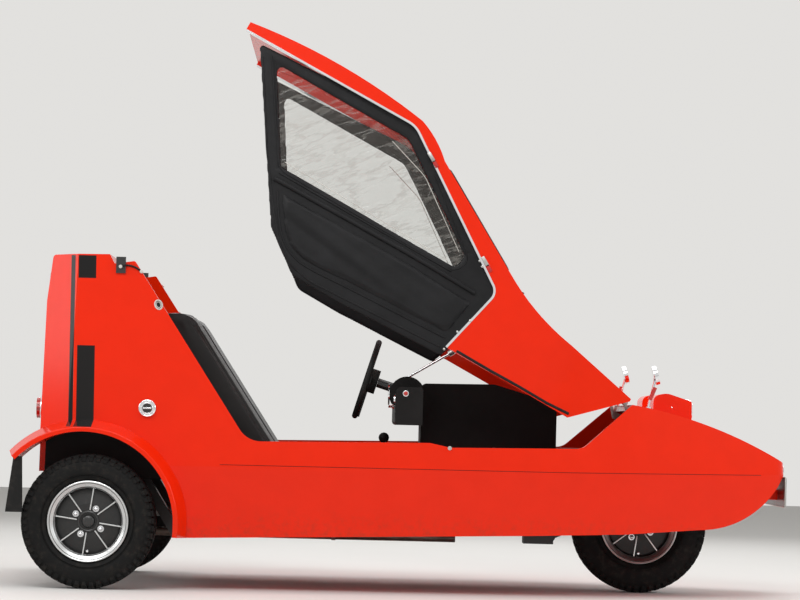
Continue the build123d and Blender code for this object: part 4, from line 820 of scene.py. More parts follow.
@dataclass
class Studio:
    """Camera, lamps, world and floor.

    Fields: eye, aim and roll of the camera; its lens and sensor in millimetres; the floor's
    colour; the strength at which the world lights, and the one at which it is seen.
    """

    eye: Point = (-0.160, -11.0, 0.5955)
    aim: Point = (36.84, 2943.0, 125.97)
    roll: float = 0.0252
    lens: float = 132.6
    sensor: float = 36.0
    floor_colour: Colour = (0.80, 0.79, 0.77)
    light: float = 0.34
    shown: float = 0.95

    def camera(self) -> None:
        """Places the camera at the photograph's viewing angle."""
        data = bpy.data.cameras.new("camera")
        data.lens = self.lens
        data.sensor_width = self.sensor
        data.clip_end = 60.0
        ahead = Vector(self.aim).normalized()
        right = Vector((math.cos(self.roll), 0.0, math.sin(self.roll)))
        right = (right - ahead * right.dot(ahead)).normalized()
        up = right.cross(ahead)
        rows = Matrix((right, up, -ahead)).transposed()
        holder = linked("camera", data)
        holder.matrix_world = Matrix.Translation(self.eye) @ rows.to_4x4()
        bpy.context.scene.camera = holder

    @staticmethod
    def lamp(name: str, place: Point, target: Point, size: Row, power: float) -> None:
        """Adds a soft box.

        Args:
            name: its name.
            place: where it stands.
            target: what it faces.
            size: its sides.
            power: watts.
        """
        data = bpy.data.lights.new(name, "AREA")
        data.shape = "RECTANGLE"
        data.size, data.size_y = size
        data.energy = power
        turn = (Vector(target) - Vector(place)).to_track_quat("-Z", "Y").to_matrix()
        linked(name, data).matrix_world = Matrix.Translation(place) @ turn.to_4x4()

    def world(self) -> None:
        """A pale world; the camera and reflections see it brighter than it lights."""
        graph = Graph("world", world=True)
        rays = graph.node("ShaderNodeLightPath").outputs
        seen = Wire(graph, rays["Is Camera Ray"])
        for kind in ("Is Glossy Ray", "Is Transmission Ray"):
            seen = seen.at_least(Wire(graph, rays[kind]))
        soft = graph.value("ShaderNodeBackground",
                           {"Color": (1.0, 0.98, 0.95), "Strength": self.light})
        pale = graph.value("ShaderNodeBackground",
                           {"Color": self.floor_colour, "Strength": self.shown})
        scene = bpy.context.scene
        scene.world = graph.close(graph.blend(seen, soft, pale))
        scene.view_settings.view_transform = "Standard"

    def floor(self) -> None:
        """A plain pale floor."""
        bm = bmesh.new()
        bmesh.ops.create_grid(bm, x_segments=1, y_segments=1, size=14.0)
        mesh = bpy.data.meshes.new("floor")
        bm.to_mesh(mesh)
        bm.free()
        graph = Graph("studio_floor")
        grain = graph.noise(2.0, 4.0, 0.6)
        darker = tuple(channel * 0.97 for channel in self.floor_colour)
        mesh.materials.append(graph.close(graph.surface({
            "Base Color": graph.mix(grain, darker, self.floor_colour), "Roughness": 0.75,
            "Normal": graph.bump(graph.noise(160.0, 2.0), 0.0004)})))
        made = linked("floor", mesh)

    def build(self) -> None:
        """Sets the whole studio."""
        self.camera()
        self.world()
        self.floor()
        self.lamp("lamp_key", (-1.5, -4.2, 4.6), (0.0, 0.0, 0.8), (4.5, 2.2), 150.0)
        self.lamp("lamp_top", (0.5, 0.4, 5.2), (0.1, 0.0, 0.6), (4.8, 2.4), 120.0)
        self.lamp("lamp_nose", (5.2, -2.2, 2.6), (0.6, 0.0, 0.7), (2.4, 2.0), 75.0)
        self.lamp("lamp_tail", (-5.0, -1.5, 2.2), (-1.0, 0.0, 0.7), (2.0, 2.0), 45.0)
        self.lamp("lamp_back", (0.5, 5.0, 3.2), (0.0, 0.0, 0.7), (5.0, 2.0), 70.0)


# ---- finishes of this car

PAINT_COLOUR = (0.86, 0.022, 0.0015)
PAINT = GelCoat("gel_coat", PAINT_COLOUR, rough=0.16, grain=260.0, depth=0.00015,
                shade=0.02, shine=0.2)
STRIPED = replace(PAINT, name="gel_coat_striped", stripes=True)
LINER = Finish("moulded_liner", (0.011, 0.010, 0.010), rough=0.55, grain=520.0, depth=0.0005,
               shine=0.15)
CARPET = Finish("carpet", (0.022, 0.020, 0.019), rough=0.95, wander=0.03, grain=1400.0,
                depth=0.004, shade=0.4)
VINYL = Vinyl("side_screen_vinyl", (0.010, 0.010, 0.011), rough=0.46, wander=0.07, grain=520.0,
              depth=0.0006, shade=0.2, shine=0.2)
SEAT_VINYL = Vinyl("seat_vinyl", (0.013, 0.012, 0.012), rough=0.42, grain=430.0, depth=0.0007,
                   shine=0.25)
WINDOW_SHEET = Glass("window_sheet", (0.52, 0.50, 0.46), haze=0.05, rough=0.10, crease=22.0,
                     depth=0.008)
PANE = Glass("pane", (0.9, 0.93, 0.93), haze=0.04, rough=0.02)
LAMP_PANE = Lens("lamp_pane", (0.80, 0.83, 0.86), ribs=520.0)
RED_LENS = Lens("red_lens", (0.62, 0.012, 0.008))
AMBER_LENS = Lens("amber_lens", (0.85, 0.26, 0.02))
CHROME = Metal("chrome", (0.84, 0.85, 0.87), rough=0.10, wander=0.04, metal=1.0, grain=700.0,
               depth=0.00002, shade=0.05)
ZINC = Metal("zinc", (0.55, 0.55, 0.53), rough=0.36, metal=1.0, grain=500.0, depth=0.0001)
STEEL = Metal("exhaust_steel", (0.24, 0.20, 0.17), rough=0.48, metal=0.9, grain=300.0,
              depth=0.0003, shade=0.35)
BLACK_ENAMEL = Finish("black_enamel", (0.018, 0.018, 0.018), rough=0.36, coat=0.3, grain=300.0,
                      depth=0.0003)
CAST = Finish("cast_alloy", (0.26, 0.26, 0.25), rough=0.55, metal=0.7, grain=620.0, depth=0.0008,
              shade=0.3)
TYRE_RUBBER = Rubber("tyre_rubber", (0.008, 0.008, 0.008), rough=0.66, grain=480.0, depth=0.0006,
                     shine=0.15)
RUBBER = Rubber("moulded_rubber", (0.009, 0.009, 0.009), rough=0.60, grain=600.0, depth=0.0004,
                shine=0.2)
PLATE_FACE = Finish("plate_face", (0.70, 0.70, 0.66), rough=0.32, grain=500.0, depth=0.0003)
RED_KNOB = Finish("red_knob", (0.55, 0.012, 0.008), rough=0.20, coat=0.8)
PALE_EDGE = Finish("pale_edge", (0.62, 0.60, 0.56), rough=0.35, grain=300.0)
POLISHED = Metal("polished_alloy", (0.66, 0.67, 0.67), rough=0.30, wander=0.06, metal=1.0,
                 grain=900.0, depth=0.00003, shade=0.05)
# Painted shadow: a dark red colour that stands in for the shade inside the waist seam.
SHADOW = Finish("seam_shadow", (0.16, 0.006, 0.001), rough=0.5, shine=0.2)


@dataclass(frozen=True)
class WheelAlloy(Finish):
    """Cast alloy, black in the dish and polished on the rim's edge.

    Fields: hub x and z; polish, the radius where the bright ring starts.
    """

    hub: tuple[float, float] = (0.0, 0.0)
    polish: float = 0.1165

    def build(self) -> Material:
        """Makes the material.

        Returns:
            The material.
        """
        graph = Graph(self.name)
        x, _, z = graph.axes()
        radius = ((x - self.hub[0]) ** 2.0 + (z - self.hub[1]) ** 2.0) ** 0.5
        turning = (radius * 5200.0).sine() * 0.5 + 0.5
        line = radius.between(0.1330, 0.1352, 0.0003)
        bright = radius.step(self.polish, self.polish + 0.0006) * (1 - line)
        dirt = graph.noise(60.0, 5.0, 0.7).step(0.5, 0.85)
        black = graph.mix(dirt, (0.012, 0.012, 0.012), (0.035, 0.031, 0.028))
        return graph.close(graph.surface({
            "Base Color": graph.mix(bright, black, (0.62, 0.63, 0.63)),
            "Metallic": bright, "Roughness": 0.44 - bright * 0.14 + dirt * 0.1,
            "Normal": graph.bump(turning * bright + graph.noise(700.0) * 2.0, 0.00006)}))


FRONT_ALLOY = WheelAlloy("front_alloy", (0.0, 0.0, 0.0), hub=(FRONT_HUB.x, FRONT_HUB.z))
REAR_ALLOY = WheelAlloy("rear_alloy", (0.0, 0.0, 0.0), hub=(REAR_HUB.x, REAR_HUB.z))
NODE_FINISHES = {
    PAINT: ("lower_tub", "nose_deck", "side_panels", "tail_panel", "boot_lid", "canopy_shell",
            "headlamp_pods", "plate_brackets"),
    STRIPED: ("rear_quarters",),
    LINER: ("rear_wheelhouses", "front_wheelhouse", "engine_cover", "dashboard", "seat_moulding"),
    CARPET: ("boot_floor",),
    VINYL: ("side_screens",),
    WINDOW_SHEET: ("side_windows",),
    PANE: ("windscreen", "tail_window"),
    LAMP_PANE: ("headlamps",),
    RED_LENS: ("rear_lamps",),
    AMBER_LENS: ("front_lamps",),
    SEAT_VINYL: ("seat_cushions", "seat_backs"),
    BLACK_ENAMEL: ("chassis_frame", "front_arm", "front_knuckle", "rear_axle", "steering_column",
                   "pedals", "dampers", "fin_latches", "wiper"),
    CAST: ("engine", "driveline"),
    STEEL: ("exhaust",),
    TYRE_RUBBER: ("front_tyre", "rear_tyre_left", "rear_tyre_right"),
    RUBBER: ("mudflaps", "steering_wheel", "hand_levers", "interior_mirror"),
    CHROME: ("door_mirrors", "stay_tube", "stay_rod", "canopy_trim", "filler_cap"),
    PLATE_FACE: ("front_plate", "rear_plate"),
    ZINC: ("hinge_brackets",),
    FRONT_ALLOY: ("front_rim",),
    REAR_ALLOY: ("rear_rim_left", "rear_rim_right"),
}
TRIM_FINISHES = (PALE_EDGE, RED_KNOB, POLISHED, SHADOW)


def dress_nodes() -> Looks:
    """Builds every finish and gives each CAD node its own.

    Returns:
        The materials by name.
    """
    made = {finish.name: finish.build() for finish in (*NODE_FINISHES, *TRIM_FINISHES)}
    for finish, names in NODE_FINISHES.items():
        for name in names:
            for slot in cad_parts[name].material_slots:
                slot.link = "OBJECT"
                slot.material = made[finish.name]
    return made


# ---- wheels and springs

@dataclass
class Wheel:
    """Tyre with tread blocks, polished ribs, lip, nuts and cap on one wheel.

    Fields: hub; outward, the sign of Y its face looks to; radius of the tyre; body; tyre_node;
    half_width of the tyre; flange radius; blocks round the tread; ribs on the disc and the angle
    of the first one; nut_circle, the radius the nuts stand on; lip radius, its place on the axle
    and its thickness.
    """

    hub: Vector
    outward: int
    radius: float
    body: str
    tyre_node: str
    half_width: float = 0.066
    flange: float = 0.1423
    blocks: int = 54
    ribs: int = 8
    first_rib: float = math.radians(8.0)
    nut_circle: float = 0.051
    lip: Point = (0.1392, 0.0532, 0.0030)

    def turn(self, made: Solid, profile: Sequence[Row], steps: int) -> None:
        """Turns a profile on the axle. Args: profile: (radius, towards the face) rows."""
        made.lathe([(radius, self.outward * along) for radius, along in profile], self.hub,
                   ACROSS, steps)

    def tyre(self, finish: Material) -> None:
        """Carcass with raised rings and five rows of tread.

        Args:
            finish: its rubber.
        """
        made = Solid()
        top, wide = self.radius, self.half_width
        half = [(0.1285, 0.0425), (self.flange + 0.0008, 0.0464), (self.flange + 0.008, 0.0560),
                (0.164, wide - 0.0022), (0.180, wide - 0.0008), (top - 0.040, wide - 0.0014),
                (top - 0.024, wide - 0.0040), (top - 0.0125, wide - 0.0105),
                (top - 0.0085, wide - 0.0200)]
        self.turn(made, half + [(radius, -along) for radius, along in reversed(half)], 112)
        for side in (-1, 1):
            for ring, rise in ((0.1600, 0.0008), (0.1640, 0.0016), (top - 0.038, 0.0006)):
                at = side * (wide - 0.0032)
                made.lathe([(ring - 0.0011, at), (ring, at + side * (rise + 0.0010)),
                            (ring + 0.0011, at)], self.hub, ACROSS, steps=96)
            self._row(made, side, (0.0015, 0.0190), 0.0210, 0.0090, 0.0004, 0.0)
            self._row(made, side, (0.0225, 0.0400), 0.0190, 0.0090, 0.0008, 0.5)
            self._row(made, side, (0.0435, 0.0590), 0.0200, 0.0150, 0.0034, 0.25)
            self._row(made, side, (0.0545, 0.0650), 0.0150, 0.0260, 0.0125, 0.25)
        piece = made.piece(f"{self.body}_tyre", finish, self.body, "tyre", smooth=30.0)
        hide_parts(self.tyre_node)

    def _row(self, made: Solid, side: int, across: tuple[float, float], length: float,
             deep: float, below: float, shift: float) -> None:
        """One row of blocks.

        Args:
            made: the tyre.
            side: the sign of Y.
            across: its edges, from the middle of the tread.
            length: of each block, round the tyre.
            deep: how far below the tread's top the block starts.
            below: how far below it the block ends.
            shift: share of a pitch.
        """
        low, high = sorted((side * across[0], side * across[1]))
        top = self.hub.z + self.radius
        block = made.box((self.hub.x - length / 2, self.hub.y + low, top - deep),
                         (self.hub.x + length / 2, self.hub.y + high, top - below),
                         edge=0.0012, segments=1)
        lead = ROUND / self.blocks * (shift + (0.3 if side > 0 else 0.0))
        bmesh.ops.rotate(made.bm, verts=block, cent=self.hub,
                         matrix=Matrix.Rotation(lead, 3, ACROSS))
        made.repeat(block, self.blocks, self.hub, ACROSS)

    def polish(self, finish: Material) -> None:
        """Rolled lip and ribs.

        Args:
            finish: its bright alloy.
        """
        made = Solid()
        radius, along, thick = self.lip
        self.turn(made, [(radius + thick * math.cos(a), along + thick * math.sin(a))
                         for a in between(0.0, 1.75 * math.pi, 8)], 96)
        self.turn(made, [(0.1168, 0.0385), (0.1190, 0.0412), (0.1215, 0.0412), (0.1222, 0.0400)],
                  96)
        rows = ((0.0385, 0.0285), (0.1080, 0.0150), (0.1180, 0.0330), (0.1160, 0.0365),
                (0.0900, 0.0350), (0.0400, 0.0375))
        for index in range(self.ribs):
            turn = Matrix.Rotation(self.first_rib + index * ROUND / self.ribs, 3, ACROSS)
            outline = [self.hub + turn @ Vector((-0.0022, self.outward * along, radius))
                       for radius, along in rows]
            made.slab(outline, turn @ Vector((0.0044, 0.0, 0.0)), edge=0.0008)
        made.piece(f"{self.body}_ribs", finish, self.body, "wheel_alloy")

    def cap(self, finish: Material) -> None:
        """Plain domed hub cap in its collar.

        Args:
            finish: its black enamel.
        """
        made = Solid()
        self.turn(made, [(0.0002, 0.0440), (0.0100, 0.0434), (0.0180, 0.0410), (0.0222, 0.0370),
                         (0.0232, 0.0290), (0.0002, 0.0290)], 48)
        self.turn(made, [(0.0300, 0.0290), (0.0305, 0.0345), (0.0330, 0.0360), (0.0370, 0.0345),
                         (0.0385, 0.0290)], 64)
        made.piece(f"{self.body}_cap", finish, self.body, "wheel_alloy")

    def nuts(self, finish: Material) -> None:
        """Four domed nuts on washers, and the valve.

        Args:
            finish: its plating.
        """
        made = Solid()
        spot = self.hub + UP * self.nut_circle
        face = ACROSS * self.outward
        nut = made.tube(spot + face * 0.0290, spot + face * 0.0312, 0.0115, segments=24)
        nut += made.tube(spot + face * 0.0310, spot + face * 0.0400, 0.0088, segments=6,
                         edge=0.0006)
        nut += made.ball(spot + face * 0.0395, 0.0066, segments=16)
        turn = Matrix.Rotation(math.radians(30.0), 3, ACROSS)
        bmesh.ops.rotate(made.bm, verts=nut, cent=self.hub, matrix=turn)
        made.repeat(nut, 4, self.hub, ACROSS)
        valve = self.hub - UP * 0.104
        made.tube(valve + face * 0.020, valve + face * 0.036, 0.0036, far=0.0030, segments=12)
        made.tube(valve + face * 0.036, valve + face * 0.043, 0.0044, segments=12, edge=0.0006)
        made.piece(f"{self.body}_nuts", finish, self.body, "chrome")

    def build(self, looks: Looks) -> None:
        """Builds the wheel's pieces.

        Args:
            looks: the materials by name.
        """
        self.tyre(looks["tyre_rubber"])
        self.polish(looks["polished_alloy"])
        self.cap(looks["black_enamel"])
        self.nuts(looks["chrome"])


WHEELS = (
    Wheel(FRONT_HUB, -1, 0.249, "front_wheel", "front_tyre"),
    Wheel(Vector((REAR_HUB.x, -REAR_HUB.y, REAR_HUB.z)), -1, 0.236, "rear_wheel_right",
          "rear_tyre_right"),
    Wheel(REAR_HUB, 1, 0.236, "rear_wheel_left", "rear_tyre_left"),
)


@dataclass
class Springs:
    """Coil springs round the dampers, and their rubber bump stops.

    Fields: rear place, reach and radius; front place, reach and radius; wire radius; foot of the
    rear bump stops and the pitch of their three rings.
    """

    rear: tuple[float, float] = (-1.103, 0.430)
    rear_reach: tuple[float, float] = (0.2745, 0.3735)
    rear_radius: float = 0.0390
    front: tuple[float, float] = (0.700, 0.242)
    front_reach: tuple[float, float] = (0.2815, 0.5085)
    front_radius: float = 0.0275
    wire: float = 0.0045
    stop_foot: float = 0.3450
    stop_pitch: float = 0.008

    def build(self, finish: Material, rubber: Material) -> None:
        """Winds the three springs.

        Args:
            finish, rubber: their finishes.
        """
        made, stops = Solid(), Solid()
        ring = ((0.0130, 0.0), (0.0230, 0.001), (0.0235, 0.004), (0.0170, 0.0075),
                (0.0130, 0.0075))
        for side in Side:
            x, y = self.rear[0], side.value * self.rear[1]
            foot, top = (Vector((x, y, z)) for z in self.rear_reach)
            made.coil(foot, top, self.rear_radius, self.wire, 4.5)
            for step in range(3):
                stops.lathe([(radius, step * self.stop_pitch + high) for radius, high in ring],
                            Vector((x, y, self.stop_foot)), UP, 32)
        foot, top = (Vector((*self.front, z)) for z in self.front_reach)
        made.coil(foot, top, self.front_radius, self.wire, 9.0)
        made.piece("coil_springs", finish, "body", "damper")
        stops.piece("bump_stops", rubber, "body", "rubber")


# ---- soft goods

@dataclass
class Pad:
    """A stuffed piece: a closed form that a cloth simulation swells, within a cap.

    Fields: name; source form; body; slot, not used; nodes replaced; fill, not used; pressure; cap,
    how far a point may move, voxel and shrink before it swells, in metres; finer, with one
    subdivision; frames of the simulation.
    """

    name: str
    source: bmesh.types.BMesh
    body: str
    slot: str
    replaced: tuple[str, ...] = ()
    fill: float = 0.7
    pressure: float = 4.0
    cap: float = 0.012
    voxel: float = 0.006
    shrink: float = 0.004
    finer: bool = True
    frames: int = 20

    def swell(self) -> bpy.types.Object:
        """Remeshes and inflates the form.

        Returns:
            The object.
        """
        bmesh.ops.remove_doubles(self.source, verts=list(self.source.verts), dist=1e-5)
        bmesh.ops.recalc_face_normals(self.source, faces=list(self.source.faces))
        mesh = bpy.data.meshes.new(self.name)
        self.source.to_mesh(mesh)
        self.source.free()
        made = linked(self.name, mesh)
        remesh = made.modifiers.new("remesh", "REMESH")
        remesh.mode = "VOXEL"
        remesh.voxel_size = self.voxel
        self._apply(made)
        self._inflate(made)
        if self.finer:
            soft = made.modifiers.new("soft", "SUBSURF")
            soft.levels = soft.render_levels = 1
            self._apply(made)
        made.data.shade_smooth()
        return made

    def twin(self, made: bpy.types.Object, name: str) -> bpy.types.Object:
        """The same pad on the car's other side.

        Args:
            made: the pad.
            name: the twin's name.

        Returns:
            The twin.
        """
        copied = bmesh.new()
        copied.from_mesh(made.data)
        bmesh.ops.scale(copied, vec=(1.0, -1.0, 1.0), verts=list(copied.verts))
        bmesh.ops.reverse_faces(copied, faces=list(copied.faces))
        mesh = bpy.data.meshes.new(name)
        copied.to_mesh(mesh)
        copied.free()
        mesh.shade_smooth()
        return linked(name, mesh)

    def _inflate(self, made: bpy.types.Object) -> None:
        """Runs the cloth.

        Args:
            made: the remeshed form.
        """
        start = [vert.co.copy() for vert in made.data.vertices]
        normals = [vert.normal.copy() for vert in made.data.vertices]
        for vert, normal in zip(made.data.vertices, normals):
            vert.co -= normal * self.shrink
        cloth = made.modifiers.new("cloth", "CLOTH")
        settings = cloth.settings
        settings.use_pressure = True
        settings.uniform_pressure_force = self.pressure
        settings.effector_weights.gravity = 0.0
        settings.quality = 4
        settings.mass = 0.3
        settings.tension_stiffness = settings.compression_stiffness = 15.0
        scene = bpy.context.scene
        for frame in range(1, self.frames + 1):
            scene.frame_set(frame)
        self._apply(made)
        scene.frame_set(1)
        for vert, origin in zip(made.data.vertices, start):
            way = vert.co - origin
            if way.length > self.cap:
                vert.co = origin + way.normalized() * self.cap

    @staticmethod
    def _apply(made: bpy.types.Object) -> None:
        """Applies the modifiers.

        Args:
            made: the object.
        """
        graph = bpy.context.evaluated_depsgraph_get()
        fresh = bpy.data.meshes.new_from_object(made.evaluated_get(graph))
        old = made.data
        made.modifiers.clear()
        made.data = fresh
        bpy.data.meshes.remove(old)

    def finish(self, made: bpy.types.Object, material: Material) -> bpy.types.Object:
        """Args:
            made: its object.
            material: its finish.

        Returns:
            The object.
        """
        made.data.materials.clear()
        made.data.materials.append(material)
        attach(made, self.body)
        if self.replaced:
            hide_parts(*self.replaced)
        LOG.info("pad %s: %d faces", made.name, len(made.data.polygons))
        return made


def form_of(node: str, keep: Callable[[Vector], bool]) -> bmesh.types.BMesh:
    """A merged copy of a CAD node.

    Args:
        node: its name.
        keep: which points.

    Returns:
        The copy.
    """
    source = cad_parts[node]
    bm = bmesh.new()
    bm.from_mesh(source.data)
    bmesh.ops.transform(bm, matrix=source.matrix_world, verts=list(bm.verts))
    bmesh.ops.remove_doubles(bm, verts=list(bm.verts), dist=1e-5)
    lost = [vert for vert in bm.verts if not keep(vert.co)]
    bmesh.ops.delete(bm, geom=lost, context="VERTS")
    return bm


@dataclass
class Seats:
    """Two seat cushions and two back cushions with sewn channels.

    Fields: channels across each pad; groove, their depth; stitch, their half width; up, the
    direction between the faces of both pads; turned, the least that a face looks that way.
    """

    channels: int = 6
    groove: float = 0.0065
    stitch: float = 0.0045
    up: Point = (0.55, 0.0, 0.83)
    turned: float = 0.25

    def build(self, finish: Material) -> None:
        """Swells every pad.

        Args:
            finish: their vinyl.
        """
        for node, lanes, voxel in (("seat_cushions", (0.095, 0.475), 0.0060),
                                   ("seat_backs", (0.085, 0.460), 0.0075)):
            pad = Pad(f"{node}_right", form_of(node, lambda point: point.y < 0), "body",
                      "cushion", cap=0.014, replaced=(node,), fill=0.8, voxel=voxel)
            made = pad.swell()
            self._channels(made, lanes)
            pad.finish(pad.twin(made, f"{node}_left"), finish)
            pad.finish(made, finish)

    def _channels(self, made: bpy.types.Object, lanes: tuple[float, float]) -> None:
        """Presses sewn channels fore and aft.

        Args:
            made: the pad.
            lanes: its first and last.
        """
        pitch = (lanes[1] - lanes[0]) / self.channels
        normals = [vert.normal.copy() for vert in made.data.vertices]
        for vert, normal in zip(made.data.vertices, normals):
            across = abs(vert.co.y)
            upward = normal.dot(Vector(self.up)) - self.turned
            if not lanes[0] - 0.004 < across < lanes[1] + 0.004 or upward < 0:
                continue
            offset = abs((across - lanes[0] + pitch / 2) % pitch - pitch / 2)
            press = math.exp(-(offset / self.stitch) ** 2)
            vert.co -= normal * self.groove * press * min(1.0, upward * 3.0)


# ---- canopy

def laid(skin: Skin, rows: Sequence[Row], side: Side, out: float, gap: float = 0.012) -> list:
    """Lays a line on a side.

    Args:
        skin: the surface.
        rows: the line, as (x, z).
        side: which side.
        out: how far proud.
        gap: the longest step between points.

    Returns:
        The line's points.
    """
    spots = []
    for (x0, z0), (x1, z1) in zip(rows, rows[1:]):
        count = max(2, int(math.dist((x0, z0), (x1, z1)) / gap))
        spots += [(x0 + (x1 - x0) * i / count, z0 + (z1 - z0) * i / count) for i in range(count)]
    return [skin.side(x, z, side, out) for x, z in spots + [rows[-1]]]


def on_screen(along: float, y: float, height: float) -> Vector:
    """Point on the shut windscreen. Args: along: down it. height: above its glass."""
    return SCREEN_TOP + SCREEN_DOWN * along + ACROSS * y + SCREEN_OUT * height


def patch(start: float, end: float, half: float, height: float) -> list[Vector]:
    """Corners of a strip down the shut windscreen. Args: half: half its width. Returns: them."""
    return [on_screen(along, y, height) for along, y in
            ((start, -half), (end, -half), (end, half), (start, half))]


def rounded(rows: Sequence[Row], radius: float, closed: bool = False) -> list[Row]:
    """Rounds a line's corners.

    Args:
        rows: the line, as (x, z).
        radius: what is cut off at each corner.
        closed: the line closes on itself.

    Returns:
        The rounded line.
    """
    result: list[Row] = []
    count = len(rows)
    for index, here in enumerate(rows):
        if not closed and index in (0, count - 1):
            result.append(here)
            continue
        point = Vector(here)
        before, after = Vector(rows[index - 1]), Vector(rows[(index + 1) % count])
        start = point + (before - point).normalized() * min(radius, (before - point).length / 2.1)
        end = point + (after - point).normalized() * min(radius, (after - point).length / 2.1)
        for step in between(0.0, 1.0, 7):
            bent = start.lerp(point, step).lerp(point.lerp(end, step), step)
            result.append((bent.x, bent.y))
    return result + ([result[0]] if closed else [])


@dataclass
class Canopy:
    """Dressing of the canopy in its shown place: piping, belt welt, padding, rivets, tabs, seals.

    Fields: lines read along the right side, as (x, z); radii of piping and welt.
    """

    rim_line: tuple[Row, ...] = ((-0.540, 1.900), (-0.516, 1.560), (-0.500, 1.460),
                                 (-0.488, 1.370), (-0.462, 1.226), (-0.416, 1.152),
                                 (-0.352, 1.100), (0.116, 0.880))
    inner_line: tuple[Row, ...] = ((-0.508, 1.905), (-0.497, 1.782), (-0.486, 1.659),
                                   (-0.472, 1.520))
    belt_line: tuple[Row, ...] = ((-0.486, 1.463), (-0.448, 1.444), (-0.233, 1.331),
                                  (0.016, 1.199), (0.236, 1.074))
    belt_top: tuple[Row, ...] = ((-0.470, 1.485), (-0.233, 1.356), (0.150, 1.150))
    low_line: tuple[Row, ...] = ((-0.474, 1.420), (-0.468, 1.335), (-0.458, 1.268),
                                 (-0.434, 1.215), (-0.396, 1.170), (-0.340, 1.138),
                                 (-0.226, 1.086), (0.135, 0.912))
    pad_line: tuple[Row, ...] = ((-0.462, 1.418), (-0.456, 1.330), (-0.446, 1.266),
                                 (-0.424, 1.220), (-0.388, 1.180), (-0.330, 1.148),
                                 (-0.220, 1.098), (0.140, 0.925), (0.232, 1.040),
                                 (0.016, 1.170), (-0.233, 1.303))
    window_line: tuple[Row, ...] = ((-0.4955, 1.888), (-0.470, 1.496), (0.161, 1.148),
                                    (0.214, 1.186), (0.084, 1.490))
    edge_lines: tuple[tuple[Row, ...], ...] = (
        ((-0.452, 1.5250), (0.134, 1.1900)), ((0.176, 1.2220), (0.050, 1.4880), (-0.070, 1.6120)))
    scuttle_line: tuple[Row, ...] = ((0.175, 0.866), (0.300, 0.797), (0.400, 0.745),
                                     (0.500, 0.690), (0.580, 0.654))
    piping: float = 0.0034
    welt: float = 0.0085
    rivets: tuple[Row, ...] = ((0.251, 1.190), (0.261, 1.170), (0.221, 0.975), (0.177, 0.935),
                               (0.132, 0.872))
    tabs: tuple[Row, ...] = ((0.071, 1.555), (0.270, 1.187))
    pad_height: float = 0.008

    def __post_init__(self) -> None:
        """Finds the surfaces that the dressing lies on."""
        self.screen = Skin("side_screens")
        self.opening = Skin("side_screens", "side_windows")
        self.frame = Skin("canopy_shell", "canopy_trim", "side_screens")

    def lines(self, vinyl: Material) -> None:
        """Piping and the belt welt on both screens.

        Args:
            vinyl: their finish.
        """
        made = Solid()
        for side in Side:
            for rows, radius, corner in ((self.rim_line, self.piping, 0.03),
                                         (self.inner_line, self.piping, 0.0),
                                         (self.low_line, self.piping * 1.2, 0.03),
                                         (self.belt_top, self.piping, 0.0),
                                         (self.belt_line, self.welt, 0.02)):
                smooth = rounded(rows, corner) if corner else rows
                made.bead(laid(self.screen, smooth, side, radius * 0.35), radius)
            window = rounded(self.window_line, 0.030)
            made.bead(laid(self.opening, window, side, 0.0006, 0.02), self.piping * 0.8)
        made.piece("screen_piping", vinyl, "canopy", "black_vinyl")

    def pads(self, vinyl: Material) -> None:
        """The soft screens, and the padded lower panel of each.

        Args:
            vinyl: their finish.
        """
        screen = Pad("soft_screen_right", form_of("side_screens", lambda point: point.y < 0),
                     "canopy", "black_vinyl", replaced=("side_screens",), cap=0.0014, fill=0.15,
                     pressure=1.5, voxel=0.0048, shrink=0.0008, finer=False)
        sewn = screen.swell()
        screen.finish(screen.twin(sewn, "soft_screen_left"), vinyl)
        screen.finish(sewn, vinyl)
        rows = rounded(self.pad_line, 0.018, closed=True)[:-1]
        points = [self.screen.side(x, z, Side.RIGHT, -0.002) for x, z in rows]
        made = Solid()
        made.slab(points, -ACROSS * self.pad_height)
        bmesh.ops.triangulate(made.bm, faces=list(made.bm.faces))
        pad = Pad("screen_pad_right", made.bm, "canopy", "black_vinyl", cap=0.0055, fill=0.35,
                  pressure=2.0, voxel=0.0055, shrink=0.0015)
        swollen = pad.swell()
        self._wrinkle(swollen, sum(points, Vector()) / len(points))
        pad.finish(pad.twin(swollen, "screen_pad_left"), vinyl)
        pad.finish(swollen, vinyl)

    @staticmethod
    def _wrinkle(made: bpy.types.Object, middle: Vector) -> None:
        """Draws soft folds along the panel.

        Args:
            made: the pad.
            middle: its centre.
        """
        normals = [vert.normal.copy() for vert in made.data.vertices]
        for vert, normal in zip(made.data.vertices, normals):
            if normal.y > -0.5:
                continue
            away = vert.co - middle
            along = away.x * 0.87 - away.z * 0.49
            across = away.x * 0.49 + away.z * 0.87
            fade = math.exp(-(across / 0.12) ** 2) * math.exp(-(along / 0.30) ** 2)
            wave = math.sin(across * 62.0 + math.sin(along * 9.0) * 1.2)
            wave += 0.5 * math.sin(across * 118.0 + along * 14.0)
            vert.co.y -= 0.0016 * wave * fade

    def sheet_edges(self, bright: Material) -> None:
        """The pale welded edge round each clear window.

        Args:
            bright: its finish.
        """
        made = Solid()
        pane = Skin("side_windows")
        for side in Side:
            for rows in self.edge_lines:
                made.bead(laid(pane, rounded(rows, 0.02), side, 0.0004, 0.02), 0.0013)
        made.piece("window_edges", bright, "canopy", "rubber")

